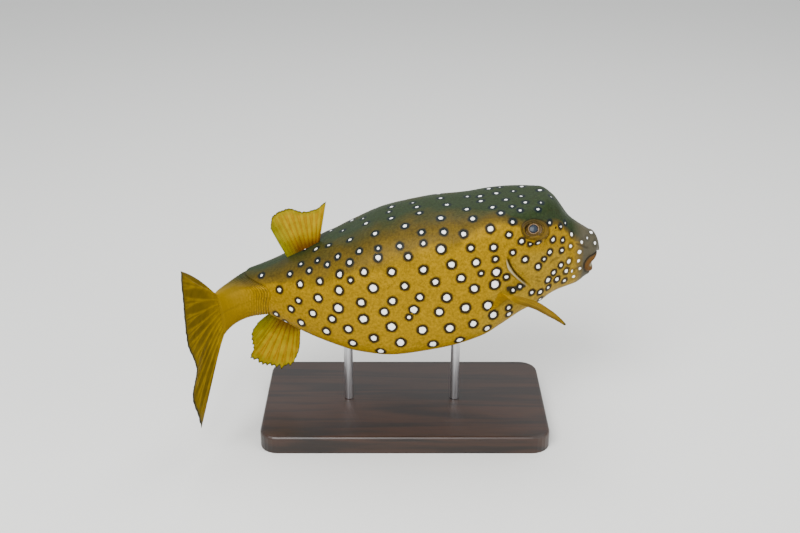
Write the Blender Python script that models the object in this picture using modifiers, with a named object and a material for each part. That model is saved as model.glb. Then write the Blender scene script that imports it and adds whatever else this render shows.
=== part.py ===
"""Yellow boxfish, a still life-size model held over a flat base by two short rods.

The body is one smooth surface through a few cross-sections. Head and torso are lengths of it, and
the tail stem carries on from the torso's rear rim in a bend. Each fin is a thin sheet, thickened
into a ridge along every ray. Sizes are real ones, in millimetres or as multiples of MM.

Axes: +X towards the snout, +Y to the fish's left, +Z up. The origin is the middle of the underside
of the base. A place on the body is given by its distance behind the lips and by its girth, which
runs from 0 at the crown down the right side to 0.5 at the belly, and up the left side to 1.
"""

import math

import bmesh
import bpy
import numpy as np
from mathutils import Matrix, Vector

MM = 0.001
GAP = 0.3

# Pose of the body: pitch, and the height of its axis over the middle of the base
PITCH = math.radians(6.0)
BODY_MIDDLE = 121.0
BODY_HEIGHT = 104.0

# Cross-sections of the body: distance behind the lips, half width and height of the upper ridge,
# rise of the back above it, half width and height of the lower ridge, sag of the belly below it,
# and squareness, which is 2 on an ellipse
SECTIONS = (
    (2, 9.0, 17.0, 3.5, 8.0, -9.0, 1.0, 2.6),
    (12, 13.5, 24.5, 5.0, 13.0, -13.0, 1.5, 3.0),
    (21.5, 20.0, 40.3, 4.5, 18.5, -13.5, 2.0, 3.6),
    (29, 25.0, 46.5, 3.2, 22.5, -15.0, 2.0, 4.2),
    (36, 28.0, 47.3, 2.0, 26.5, -17.5, 2.5, 5.0),
    (48, 31.0, 47.5, 2.0, 31.5, -20.5, 3.0, 5.4),
    (62, 33.5, 45.5, 4.0, 36.0, -27.0, 3.0, 5.6),
    (75, 36.0, 42.5, 6.0, 39.0, -33.0, 3.0, 5.6),
    (102, 39.0, 38.0, 10.5, 42.0, -38.0, 3.0, 5.6),
    (129, 40.0, 33.0, 12.0, 42.5, -39.5, 3.0, 5.6),
    (155, 37.5, 27.5, 8.5, 39.0, -36.0, 3.0, 5.2),
    (167, 34.5, 20.5, 12.0, 36.0, -32.0, 3.0, 4.8),
    (182, 29.5, 18.5, 7.5, 30.5, -26.5, 3.0, 4.2),
    (202, 20.5, 14.0, 3.0, 21.0, -17.5, 2.0, 3.6),
    (212, 15.5, 11.5, 2.0, 16.0, -13.0, 1.0, 3.2),
)
SNOUT_ROUND = 5.0
SNOUT_LEAN = 4.0
SNOUT_LEAN_END = 24.0
HEAD_END = 58.5
RIM_AT = 209.5
RIM_LEAN = 14.0
RIM_LEAN_START = 150.0
ROUND_POINTS = 56
SNOUT_TURNS = (14, 32, 50, 70)
HEAD_STATIONS = (2, 6, 10, 14, 18, 22, 25, 28, 31, 34, 37, 40, 43, 46, 49, 53, HEAD_END)
TORSO_STATIONS = (64, 72, 81, 91, 101, 112, 123, 134, 145, 155, 163, 170, 177, 184, 191, 198, 204, RIM_AT)

# Eyes, set into the flank under the upper ridge, each in a raised fold of skin
EYE_AT = 36.5
EYE_GIRTH = 0.180
EYE_RADIUS = 8.2
EYE_SUNK = 4.6
ORBIT_RADIUS = 9.2
ORBIT_RISE = 1.0
ORBIT_WIDTH = 2.2

# Gill slit and nostrils as distance behind the lips and girth, and the mouth about the body's axis
GILL_SLIT = ((55.6, 0.214), (54.0, 0.236), (51.3, 0.260), (47.5, 0.283), (43.0, 0.302))
GILL_RADII = (0.9, 1.1, 1.2, 1.1, 0.9)
GILL_DEPTH = 2.6
NOSTRILS = ((23.6, 0.166), (20.8, 0.158))
NOSTRIL_RADIUS = 0.9
MOUTH_HALF_WIDTH = 6.6
MOUTH_LEVEL = 0.8
MOUTH_RECESS = (2.4, 6.6, 4.6)
LIP_BOW = 3.4
LIP_CORNER = 3.8
LIP_FRONT = -0.2
LIP_OVERBITE = 0.6
LIP_THIN = 1.3
LIP_THICK = 2.8
LIP_STEPS = 13

# Tail stem: share of its length, half width and half height
STEM_LENGTH = 48.0
STEM_START = RIM_AT - 5.0
STEM_BEND = math.radians(78)
STEM_EASE = 1.15
STEM_DROOP = 2.0
STEM_SIZES = ((0.0, 12.0, 13.8), (0.3, 10.5, 14.4), (0.7, 7.0, 13.8), (1.0, 3.4, 14.8))
STEM_SHARES = (0.0, 0.1, 0.2, 0.3, 0.42, 0.55, 0.68, 0.8, 0.92, 1.0)
STEM_POINTS = 28

# Fins: rays, and outlines as distance behind the lips and height, or as shares along the rays' row
RAY_THICK = 2.6
ROOT_SINK = 2.0
CAUDAL_RAYS = 10
CAUDAL_SPREAD = (math.radians(39.5), math.radians(-56))
CAUDAL_TURN = (math.radians(82), math.radians(57))
CAUDAL_LENGTH = 42.5
CAUDAL_LOBES = 18.0
CAUDAL_BOW = 2.5
CAUDAL_STANDOFF = 0.45
CAUDAL_FOLD = ((0, 0), (0.2, 1.5), (0.4, 1.5), (0.6, 6.0), (0.8, 1.5), (0.9, 2.0), (1, 0))
DORSAL_RAYS = 9
DORSAL_BASE = (173.5, 191.0)
DORSAL_TIPS = ((165.3, 57), (173, 52.2), (181, 51.3), (189, 54.2), (196.5, 53), (201.5, 49), (203.5, 42))
ANAL_RAYS = 9
ANAL_BASE = (193.5, 209.0)
ANAL_TIPS = (
    (196, -42), (199, -50.5), (204.5, -57.5), (212, -59), (219, -56),
    (225, -53), (231, -49), (227.5, -40), (227.5, -32), (222, -23),
)
FIN_LEAN = 2.0
PECTORAL_RAYS = 10
PECTORAL_ROOT = ((61.5, 0.288), (69.5, 0.312))
PECTORAL_LINE = ((65.5, 36, -5), (55, 42.5, -1), (44, 50, -2.5), (33.5, 57, -6.5), (25, 62, -12))
PECTORAL_WIDTH = (9.0, 24.0)
PECTORAL_TWIST_END = 0.35
PECTORAL_FACE = (0.116, 0.955, -0.25)

# Stand
BASE_SIZE = (190.0, 100.0, 12.0)
BASE_CORNER = 12.0
BASE_EDGE = 2.0
ROD_RADIUS = 3.0
ROD_PLACES = {"stand_rod_front": 34.0, "stand_rod_rear": -38.0}

# Base colour, roughness and metallic value of each finish
FINISHES = {
    "skin": ((0.50, 0.31, 0.02), 0.45, 0.0),
    "fin": ((0.60, 0.36, 0.02), 0.5, 0.0),
    "eye": ((0.10, 0.07, 0.05), 0.12, 0.0),
    "lip": ((0.36, 0.15, 0.05), 0.4, 0.0),
    "walnut": ((0.06, 0.03, 0.02), 0.4, 0.0),
    "steel": ((0.62, 0.62, 0.63), 0.28, 1.0),
}


def blend(first, last, share):
    return first + (last - first) * share


def eased(knots, values, x):
    """A smooth curve through the values at the knots, with no overshoot between them."""
    knots = np.asarray(knots, float)
    values = np.asarray(values, float)
    steps = np.diff(knots)
    slopes = np.diff(values) / steps
    turns = np.zeros(len(knots))
    for i in range(1, len(knots) - 1):
        before, after = slopes[i - 1], slopes[i]
        if before * after > 0:
            near = 2 * steps[i] + steps[i - 1]
            far = steps[i] + 2 * steps[i - 1]
            turns[i] = (near + far) / (near / before + far / after)
    turns[0], turns[-1] = slopes[0], slopes[-1]
    x = min(max(x, knots[0]), knots[-1])
    i = min(int(np.searchsorted(knots, x, side="right")) - 1, len(steps) - 1)
    t = (x - knots[i]) / steps[i]
    return (
        values[i] * (1 + 2 * t) * (1 - t) ** 2
        + steps[i] * turns[i] * t * (1 - t) ** 2
        + values[i + 1] * t * t * (3 - 2 * t)
        - steps[i] * turns[i + 1] * t * t * (1 - t)
    )


def column(rows, k):
    return [row[k] for row in rows]


def in_world(behind, side, height):
    """A point of the body's own axes on the pitched body over the base."""
    ahead = BODY_MIDDLE - behind
    return Vector(
        (
            ahead * math.cos(PITCH) - height * math.sin(PITCH),
            side,
            BODY_HEIGHT + ahead * math.sin(PITCH) + height * math.cos(PITCH),
        )
    ) * MM


def square_point(girth, squareness):
    """A point of a rounded square whose half sides are 1, as outward and upward parts."""
    run = 4 * (1 - abs(2 * girth - 1))
    if run < 1:
        out, up = run, 1.0
    elif run < 3:
        out, up = 1.0, 2 - run
    else:
        out, up = 4 - run, -1.0
    reach = (out**squareness + abs(up) ** squareness) ** (1 / squareness)
    return out / reach, up / reach


def body_point(behind, girth):
    """The smooth body in its own axes: distance behind the lips, side and height."""
    first = SECTIONS[0][0]
    knots = column(SECTIONS, 0)
    sizes = [eased(knots, column(SECTIONS, k), max(behind, first)) for k in range(1, 8)]
    ridge, ridge_up, rise, keel, keel_up, sag, squareness = sizes
    out, up = square_point(girth % 1.0, squareness)
    share = (up + 1) / 2
    half = blend(keel, ridge, share)
    height = blend(keel_up, ridge_up, share)
    height += rise * share**2 * (1 - out**3) - sag * (1 - share) ** 2 * (1 - out**2)
    if behind < first:
        shrink = math.sin(math.acos(min(1.0, (first - behind) / SNOUT_ROUND)))
        middle = (ridge_up + keel_up) / 2 + 1.5
        half *= shrink
        height = blend(middle, height, shrink)
    side = -half * out if girth % 1.0 < 0.5 else half * out
    lean = max(0.0, behind - RIM_LEAN_START) / (RIM_AT - RIM_LEAN_START)
    slant = RIM_LEAN * lean**3 * max(0.0, share - 0.3) / 0.7 * (1 - 0.75 * out**2)
    slant -= SNOUT_LEAN * max(0.0, 1 - behind / SNOUT_LEAN_END) ** 2 * (share - 0.45)
    return behind + slant, side, height


def body_normal(behind, girth):
    """The body's outward direction at a place."""
    along = in_world(*body_point(behind - 0.4, girth)) - in_world(*body_point(behind + 0.4, girth))
    around = in_world(*body_point(behind, girth + 0.003)) - in_world(*body_point(behind, girth - 0.003))
    return around.cross(along).normalized()


def on_body(behind, girth, lift=0.0):
    """A point on the body in the world, lifted along its outward direction."""
    here = in_world(*body_point(behind, girth))
    if not lift:
        return here
    return here + body_normal(behind, girth) * lift * MM


def on_side(girth, side):
    """The girth as given on the right side, where side is -1, or mirrored to the left."""
    return girth if side < 0 else 1 - girth


def new_object(name, mesh, material, collection):
    made = bpy.data.objects.new(name, mesh)
    collection.objects.link(made)
    mesh.materials.append(material)
    mesh.shade_smooth()
    mesh.set_sharp_from_angle(angle=math.radians(50))
    return made


def new_cutter(name, mesh, collection):
    made = bpy.data.objects.new(name, mesh)
    made.hide_render = True
    made.display_type = "WIRE"
    collection.objects.link(made)
    return made


def mesh_of(bm, name):
    """The finished mesh, its faces turned outwards."""
    bmesh.ops.recalc_face_normals(bm, faces=bm.faces[:])
    mesh = bpy.data.meshes.new(name)
    bm.to_mesh(mesh)
    bm.free()
    return mesh


def loft(rings, name):
    """One closed mesh through rings of points, each end filled by a fan about its middle."""
    bm = bmesh.new()
    loops = [[bm.verts.new(point) for point in ring] for ring in rings]
    count = len(loops[0])
    for first, second in zip(loops, loops[1:]):
        for i in range(count):
            j = (i + 1) % count
            bm.faces.new((first[i], first[j], second[j], second[i]))
    for ring in (loops[0], loops[-1]):
        centre = bm.verts.new(sum((v.co for v in ring), Vector()) / count)
        for i in range(count):
            bm.faces.new((ring[i], ring[(i + 1) % count], centre))
    return mesh_of(bm, name)


def body_ring(behind, relief=None):
    """One ring of the body, lifted by any relief."""
    girths = [(i + 0.5) / ROUND_POINTS for i in range(ROUND_POINTS)]
    return [on_body(behind, g, relief(behind, g) if relief else 0.0) for g in girths]


def ball(name, middle, outward, radii, segments=20, rings=12):
    """An ellipsoid with its pole along outward."""
    bm = bmesh.new()
    bmesh.ops.create_uvsphere(bm, u_segments=segments, v_segments=rings, radius=MM)
    turn = outward.to_track_quat("Z", "Y").to_matrix().to_4x4()
    place = Matrix.Translation(middle) @ turn @ Matrix.Diagonal((*radii, 1.0))
    bmesh.ops.transform(bm, matrix=place, verts=bm.verts[:])
    return mesh_of(bm, name)


def swept(name, points, radii, sides=12, flatness=1.0, flat_axis=Vector((0, 0, 1))):
    """A closed tube with a radius at each point, stretched along flat_axis by flatness."""
    rings = []
    for i, point in enumerate(points):
        ahead = points[min(i + 1, len(points) - 1)] - points[max(i - 1, 0)]
        ahead.normalize()
        across = (flat_axis - ahead * flat_axis.dot(ahead)).normalized()
        third = ahead.cross(across)
        ring = []
        for k in range(sides):
            turn = math.tau * k / sides
            spoke = across * math.cos(turn) * flatness + third * math.sin(turn)
            ring.append(point + spoke * radii[i] * MM)
        rings.append(ring)
    return loft(rings, name)


def cut(target, cutters, solver="EXACT"):
    """Takes the cutters out of the target and leaves its largest closed body."""
    for cutter in cutters:
        modifier = target.modifiers.new("Cut", "BOOLEAN")
        modifier.operation = "DIFFERENCE"
        modifier.solver = solver
        modifier.object = cutter
    graph = bpy.context.evaluated_depsgraph_get()
    mesh = bpy.data.meshes.new_from_object(target.evaluated_get(graph))
    target.modifiers.clear()
    target.data = mesh
    keep_largest(mesh)


def keep_largest(mesh):
    """Drops every loose scrap that the cuts leave."""
    bm = bmesh.new()
    bm.from_mesh(mesh)
    bmesh.ops.remove_doubles(bm, verts=bm.verts[:], dist=1e-6)
    left = set(bm.faces)
    pieces = []
    while left:
        start = left.pop()
        piece = {start}
        front = [start]
        while front:
            for edge in front.pop().edges:
                if len(edge.link_faces) != 2:
                    continue
                for face in edge.link_faces:
                    if face in left:
                        left.discard(face)
                        piece.add(face)
                        front.append(face)
        pieces.append(piece)
    pieces.sort(key=lambda piece: sum(face.calc_area() for face in piece))
    scraps = [face for piece in pieces[:-1] for face in piece]
    bmesh.ops.delete(bm, geom=scraps, context="FACES")
    bm.to_mesh(mesh)
    bm.free()


def eye_frame(side):
    """Where an eye's middle line leaves the body, and its outward direction."""
    girth = on_side(EYE_GIRTH, side)
    outward = body_normal(EYE_AT, girth) + Vector((0.05, 0.35 * side, -0.1))
    return on_body(EYE_AT, girth), outward.normalized()


def orbit_relief(behind, girth):
    """Lift of the skin in the fold round each eye."""
    here = on_body(behind, girth)
    lift = 0.0
    for side in (-1, 1):
        middle, outward = eye_frame(side)
        away = here - middle
        ring = (away - outward * away.dot(outward)).length / MM
        if away.dot(outward) > -EYE_RADIUS * MM:
            lift += ORBIT_RISE * math.exp(-(((ring - ORBIT_RADIUS) / ORBIT_WIDTH) ** 2))
    return lift


def eye_ball(name, side, grow=0.0):
    middle, outward = eye_frame(side)
    return ball(name, middle - outward * EYE_SUNK * MM, outward, [EYE_RADIUS + grow] * 3)


def gill_slit(side):
    """The slot behind the cheek, narrow along the flank and deeper than it is wide."""
    path = [on_body(behind, on_side(girth, side), 0.5) for behind, girth in GILL_SLIT]
    behind, girth = GILL_SLIT[2]
    inward = body_normal(behind, on_side(girth, side))
    return swept("gill_slit", path, GILL_RADII, sides=8, flatness=GILL_DEPTH, flat_axis=inward)


def nostril(side, place):
    behind, girth = place
    girth = on_side(girth, side)
    spot = on_body(behind, girth, 0.2)
    return ball("nostril", spot, body_normal(behind, girth), [NOSTRIL_RADIUS] * 3, segments=10, rings=6)


def lip(name, upper, grow=0.0):
    """A lip, an arc across the front of the mouth that is thickest in the middle."""
    points = []
    radii = []
    for i in range(LIP_STEPS):
        turn = math.pi * i / (LIP_STEPS - 1)
        bow = math.sin(turn)
        ahead = blend(LIP_CORNER, LIP_FRONT - (LIP_OVERBITE if upper else 0.0), bow)
        height = MOUTH_LEVEL + (LIP_BOW if upper else -LIP_BOW) * bow
        points.append(in_world(ahead, -MOUTH_HALF_WIDTH * math.cos(turn), height))
        radii.append(blend(LIP_THIN, LIP_THICK, bow**0.8) + grow)
    return swept(name, points, radii)


def make_head(collection, cutting, material):
    first = SECTIONS[0][0]
    snout = [first - SNOUT_ROUND * math.cos(math.radians(turn)) for turn in SNOUT_TURNS]
    rings = [body_ring(behind, orbit_relief) for behind in (*snout, *HEAD_STATIONS)]
    head = new_object("head", loft(rings, "head"), material, collection)
    hollows = []
    for side in (-1, 1):
        hollows.append(eye_ball("eye_socket", side, GAP))
        hollows.append(gill_slit(side))
        hollows.extend(nostril(side, place) for place in NOSTRILS)
    forward = in_world(0, 0, 0) - in_world(10, 0, 0)
    hollows.append(ball("mouth_recess", in_world(-1, 0, MOUTH_LEVEL), forward, MOUTH_RECESS))
    hollows.append(lip("upper_lip_seat", True, GAP))
    hollows.append(lip("lower_lip_seat", False, GAP))
    cut(head, [new_cutter(mesh.name, mesh, cutting) for mesh in hollows])


def make_eyes(collection, material):
    new_object("eye_right", eye_ball("eye_right", -1), material, collection)
    new_object("eye_left", eye_ball("eye_left", 1), material, collection)


def make_lips(collection, cutting, material):
    new_object("lip_upper", lip("lip_upper", True), material, collection)
    lower = new_object("lip_lower", lip("lip_lower", False), material, collection)
    cut(lower, [new_cutter("upper_lip_room", lip("upper_lip_room", True, GAP), cutting)])


def heading(turn):
    """Backward along the body, turned towards the fish's right."""
    straight = Vector((-math.cos(PITCH), 0, -math.sin(PITCH)))
    return straight * math.cos(turn) + Vector((0, -math.sin(turn), 0))


def stem_frame(along):
    """Middle, heading, upward and sideways directions and half sizes at a share of the tail stem."""
    steps = 40
    point = in_world(STEM_START, 0.0, -0.5)
    for k in range(round(along * steps)):
        turn = STEM_BEND * ((k + 0.5) / steps) ** STEM_EASE
        point += heading(turn) * STEM_LENGTH * MM / steps
    point.z -= STEM_DROOP * MM * along**2
    back = heading(STEM_BEND * along**STEM_EASE)
    upright = Vector((-math.sin(PITCH), 0, math.cos(PITCH)))
    up = (upright - back * upright.dot(back)).normalized()
    across = up.cross(back)
    shares = column(STEM_SIZES, 0)
    wide = eased(shares, column(STEM_SIZES, 1), along)
    high = eased(shares, column(STEM_SIZES, 2), along)
    return point, back, up, across, wide, high


def stem_ring(along, count, grow=0.0, sink=0.0):
    """A ring round the tail stem, grown outwards and sunk back along the stem."""
    point, back, up, across, wide, high = stem_frame(along)
    ring = []
    for i in range(count):
        out, level = square_point((i + 0.5) / count, 2.3)
        out = out if i < count / 2 else -out
        ring.append(
            point + (back * sink + across * out * (wide + grow) + up * level * (high + grow)) * MM
        )
    return ring


def make_torso(collection, material):
    """The body behind the head. Its rear rim is hollow where the tail stem leaves it."""
    rings = [body_ring(behind) for behind in (HEAD_END + GAP, *TORSO_STATIONS)]
    rings.append(stem_ring(0.0, ROUND_POINTS, grow=2.6, sink=3.0))
    rings.append(stem_ring(0.0, ROUND_POINTS, grow=1.2, sink=-2.0))
    last = rings[-1]
    middle = sum(last, Vector()) / len(last)
    rings.append([middle.lerp(point, 0.5) - heading(0.0) * GAP * MM for point in last])
    new_object("torso", loft(rings, "torso"), material, collection)


def make_tail_stem(collection, material):
    rings = [stem_ring(share, STEM_POINTS) for share in STEM_SHARES]
    new_object("tail_stem", loft(rings, "tail_stem"), material, collection)


def fin_sheet(name, place, columns, rows, rays, collection, material):
    """A fin from place(a, b), where a runs over the rays and b outwards, thickest along each ray."""
    bm = bmesh.new()
    bmesh.ops.create_grid(bm, x_segments=columns, y_segments=rows, size=0.5)
    shares = [(vert.co.x + 0.5, vert.co.y + 0.5) for vert in bm.verts]
    for vert, (a, b) in zip(bm.verts, shares):
        vert.co = place(a, b)
    bmesh.ops.triangulate(bm, faces=bm.faces[:], quad_method="FIXED")
    mesh = bpy.data.meshes.new(name)
    bm.to_mesh(mesh)
    bm.free()
    made = new_object(name, mesh, material, collection)
    group = made.vertex_groups.new(name="thickness")
    for index, (a, b) in enumerate(shares):
        ridge = 0.5 + 0.5 * math.cos(math.tau * rays * a)
        ray = blend(0.42, 1.0, ridge * (1 - b**4))
        root = (1 - b) ** 5
        tip = 1 - 0.45 * b**2
        group.add([index], min(1.0, (0.62 * ray + 0.5 * root) * tip), "REPLACE")
    solid = made.modifiers.new("Solidify", "SOLIDIFY")
    solid.thickness = RAY_THICK * MM
    solid.offset = 0.0
    solid.vertex_group = group.name
    return made


def through(points):
    """A smooth line through a few points, read at a share from 0 to 1."""
    knots = np.linspace(0, 1, len(points))
    return lambda a: Vector([eased(knots, column(points, k), a) for k in range(3)])


def median_fin(base, girth, tips, lean):
    """A fin of the middle line: rays from a row on the body to a row of tips, bowed sideways."""
    tip_line = through([in_world(behind, 0, height) for behind, height in tips])

    def place(a, b):
        foot = on_body(blend(*base, a), girth, -ROOT_SINK)
        return foot.lerp(tip_line(a), b) + Vector((0, lean * MM * b * b, 0))

    return place


def caudal_fin(a, b):
    """The tail fin, a fan of rays from the end of the stem, folded once below its middle."""
    point, back, up, across, _, high = stem_frame(1.0)
    root = point + (back * (GAP + CAUDAL_STANDOFF * a) + up * (high - 0.4) * (1 - 2 * a)) * MM
    spread = blend(*CAUDAL_SPREAD, a)
    way = heading(blend(*CAUDAL_TURN, a)) * math.cos(spread) + up * math.sin(spread)
    length = CAUDAL_LENGTH + CAUDAL_LOBES * abs(2 * a - 1) ** 1.5
    fold = eased(column(CAUDAL_FOLD, 0), column(CAUDAL_FOLD, 1), a) * b**2
    bow = CAUDAL_BOW * 4 * b * (1 - b) * max(0.0, 1 - a / 0.35) ** 2
    return root + (way * length * b + across * fold + up * bow) * MM


def pectoral_fin(side):
    """A fin from an upright root on the flank, twisted level and swept forward beside the head."""
    line = through([in_world(behind, out * side, height) for behind, out, height in PECTORAL_LINE])
    upper, lower = [on_body(behind, on_side(girth, side), -ROOT_SINK) for behind, girth in PECTORAL_ROOT]
    middle = (upper + lower) / 2
    face = Vector((PECTORAL_FACE[0], -PECTORAL_FACE[1] * side, PECTORAL_FACE[2]))

    def place(a, b):
        twist = min(1.0, b / PECTORAL_TWIST_END)
        twist = twist * twist * (3 - 2 * twist)
        across = (lower - upper) * (1 - twist) + face * twist * blend(*PECTORAL_WIDTH, b) * MM
        reach = b * blend(1.0, 0.8, a * a)
        spine = line(reach) + (middle - line(0.0)) * (1 - reach)
        return spine + across * (a - 0.4)

    return place


def make_fins(collection, cutting, material):
    fin_sheet("caudal_fin", caudal_fin, 40, 11, CAUDAL_RAYS, collection, material)
    dorsal = median_fin(DORSAL_BASE, 0.0, DORSAL_TIPS, FIN_LEAN)
    anal = median_fin(ANAL_BASE, 0.5, ANAL_TIPS, -FIN_LEAN)
    room = body_room(cutting)
    for name, place, rays in (("dorsal_fin", dorsal, DORSAL_RAYS), ("anal_fin", anal, ANAL_RAYS)):
        cut(fin_sheet(name, place, 36, 7, rays, collection, material), [room])
    for name, side in (("pectoral_fin_right", -1), ("pectoral_fin_left", 1)):
        blade = fin_sheet(name, pectoral_fin(side), 40, 7, PECTORAL_RAYS, collection, material)
        # The exact solver drops the whole of this twisted blade, so the manifold one trims it
        cut(blade, [room], solver="MANIFOLD")


def body_room(cutting):
    """The torso and the rear of the head, grown by the gap, which trims the roots of the fins."""
    stations = (*HEAD_STATIONS[8:], *TORSO_STATIONS)
    rings = [body_ring(behind, lambda behind, girth: GAP) for behind in stations]
    return new_cutter("body_room", loft(rings, "body_room"), cutting)


def make_base(collection, material):
    bm = bmesh.new()
    bmesh.ops.create_cube(bm, size=MM)
    place = Matrix.Translation((0, 0, BASE_SIZE[2] * MM / 2)) @ Matrix.Diagonal((*BASE_SIZE, 1.0))
    bmesh.ops.transform(bm, matrix=place, verts=bm.verts[:])
    upright = [edge for edge in bm.edges if abs(edge.verts[0].co.z - edge.verts[1].co.z) > MM]
    bmesh.ops.bevel(bm, geom=upright, offset=BASE_CORNER * MM, segments=6, profile=0.5, affect="EDGES")
    crown = [face for face in bm.faces if face.normal.z > 0.9]
    rim = [edge for edge in bm.edges if len(set(edge.link_faces) & set(crown)) == 1]
    bmesh.ops.bevel(bm, geom=rim, offset=BASE_EDGE * MM, segments=3, profile=0.5, affect="EDGES")
    new_object("stand_base", mesh_of(bm, "stand_base"), material, collection)


def make_rods(collection, material):
    """Each rod reaches from the base to the lowest of the belly above it."""
    foot = BASE_SIZE[2] + GAP
    for name, along in ROD_PLACES.items():
        belly = [on_body(behind, 0.5) / MM for behind in range(60, 190)]
        top = min(point.z for point in belly if abs(point.x - along) < ROD_RADIUS + 1) - GAP
        bm = bmesh.new()
        radius = ROD_RADIUS * MM
        bmesh.ops.create_cone(
            bm, cap_ends=True, segments=24, radius1=radius, radius2=radius, depth=(top - foot) * MM
        )
        bmesh.ops.translate(bm, vec=Vector((along, 0, (top + foot) / 2)) * MM, verts=bm.verts[:])
        new_object(name, mesh_of(bm, name), material, collection)


def clear_scene():
    for old in list(bpy.data.objects):
        bpy.data.objects.remove(old)
    for old in list(bpy.data.collections):
        bpy.data.collections.remove(old)


def new_collection(name):
    made = bpy.data.collections.new(name)
    bpy.context.scene.collection.children.link(made)
    return made


def make_finishes():
    made = {}
    for name, (colour, rough, metal) in FINISHES.items():
        material = bpy.data.materials.new(name)
        material.use_nodes = True
        shader = material.node_tree.nodes["Principled BSDF"]
        shader.inputs["Base Color"].default_value = (*colour, 1.0)
        shader.inputs["Roughness"].default_value = rough
        shader.inputs["Metallic"].default_value = metal
        material.diffuse_color = (*colour, 1.0)
        made[name] = material
    return made


def main():
    clear_scene()
    fish = new_collection("yellow_boxfish")
    cutting = new_collection("cutters")
    finish = make_finishes()
    make_head(fish, cutting, finish["skin"])
    make_eyes(fish, finish["eye"])
    make_lips(fish, cutting, finish["lip"])
    make_torso(fish, finish["skin"])
    make_tail_stem(fish, finish["skin"])
    make_fins(fish, cutting, finish["fin"])
    make_base(fish, finish["walnut"])
    make_rods(fish, finish["steel"])


main()
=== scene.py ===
"""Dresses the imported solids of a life-size yellow boxfish on a display stand.

One skin of bone plates and flesh covers head, torso, lips and tail stem. It follows the same
cross-sections as the solids and adds lips, lids, gill slits, nostrils and folds. Finer fins with
branched rays stand for the plain ones. Eyes, base and rods stay separate. Sizes are in millimetres
where a name or a property says so, and everything else is in metres.
"""

import math

import bmesh
import bpy
import numpy as np
from bpy.props import FloatProperty, FloatVectorProperty, IntProperty, PointerProperty
from mathutils import Matrix, Vector
from mathutils.kdtree import KDTree


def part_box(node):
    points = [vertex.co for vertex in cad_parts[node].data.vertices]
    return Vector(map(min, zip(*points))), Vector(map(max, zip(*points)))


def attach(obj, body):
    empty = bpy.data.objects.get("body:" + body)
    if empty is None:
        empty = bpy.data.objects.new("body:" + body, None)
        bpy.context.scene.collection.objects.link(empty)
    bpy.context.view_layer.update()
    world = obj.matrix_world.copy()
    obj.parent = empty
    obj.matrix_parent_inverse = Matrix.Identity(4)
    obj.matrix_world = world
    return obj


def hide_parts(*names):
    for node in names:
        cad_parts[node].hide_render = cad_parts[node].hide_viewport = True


bl_info = {
    "name": "Yellow Boxfish Model",
    "version": (1, 0, 0),
    "blender": (4, 5, 0),
    "location": "3D View > Sidebar > Boxfish",
    "description": "Skin, fins, eyes and stand of a life-size yellow boxfish",
    "category": "Object",
}

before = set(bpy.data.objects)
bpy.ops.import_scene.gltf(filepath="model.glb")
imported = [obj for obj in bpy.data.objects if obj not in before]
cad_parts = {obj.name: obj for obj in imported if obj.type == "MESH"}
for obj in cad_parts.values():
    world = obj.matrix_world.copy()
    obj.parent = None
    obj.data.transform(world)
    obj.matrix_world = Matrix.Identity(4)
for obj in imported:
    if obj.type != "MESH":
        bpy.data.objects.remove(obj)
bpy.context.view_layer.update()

MM = 0.001
SEED = 11

# The body's cross-sections, as in the solids: distance behind the lips, half width and height of
# the upper ridge, rise of the back, half width and height of the lower ridge, sag of the belly,
# and squareness
PITCH = math.radians(6.0)
BODY_MIDDLE = 121.0
BODY_HEIGHT = 104.0
SECTIONS = (
    (2, 9.0, 17.0, 3.5, 8.0, -9.0, 1.0, 2.6),
    (12, 13.5, 24.5, 5.0, 13.0, -13.0, 1.5, 3.0),
    (21.5, 20.0, 40.3, 4.5, 18.5, -13.5, 2.0, 3.6),
    (29, 25.0, 46.5, 3.2, 22.5, -15.0, 2.0, 4.2),
    (36, 28.0, 47.3, 2.0, 26.5, -17.5, 2.5, 5.0),
    (48, 31.0, 47.5, 2.0, 31.5, -20.5, 3.0, 5.4),
    (62, 33.5, 45.5, 4.0, 36.0, -27.0, 3.0, 5.6),
    (75, 36.0, 42.5, 6.0, 39.0, -33.0, 3.0, 5.6),
    (102, 39.0, 38.0, 10.5, 42.0, -38.0, 3.0, 5.6),
    (129, 40.0, 33.0, 12.0, 42.5, -39.5, 3.0, 5.6),
    (155, 37.5, 27.5, 8.5, 39.0, -36.0, 3.0, 5.2),
    (167, 34.5, 20.5, 12.0, 36.0, -32.0, 3.0, 4.8),
    (182, 29.5, 18.5, 7.5, 30.5, -26.5, 3.0, 4.2),
    (202, 20.5, 14.0, 3.0, 21.0, -17.5, 2.0, 3.6),
    (212, 15.5, 11.5, 2.0, 16.0, -13.0, 1.0, 3.2),
)
SNOUT_ROUND = 5.0
SNOUT_LEAN = 4.0
SNOUT_LEAN_END = 24.0
RIM_AT = 209.5
RIM_LEAN = 14.0
RIM_LEAN_START = 150.0
RIM_BOW = 5.0
RIM_SQUARE = 3.2
RIM_TUCK = ((0.3, 0.5), (1.0, 0.6), (1.6, 0.3))

# Tail stem, as in the solids
STEM_LENGTH = 48.0
STEM_START = RIM_AT - 5.0
STEM_BEND = math.radians(78)
STEM_EASE = 1.15
STEM_DROOP = 2.0
STEM_SIZES = ((0.0, 12.0, 13.8), (0.3, 10.5, 14.4), (0.7, 7.0, 13.8), (1.0, 3.4, 14.8))
STEM_SQUARE = 2.3
STEM_FOLD_ROWS = 5.0
STEM_FOLD_DEPTH = 0.14

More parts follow.
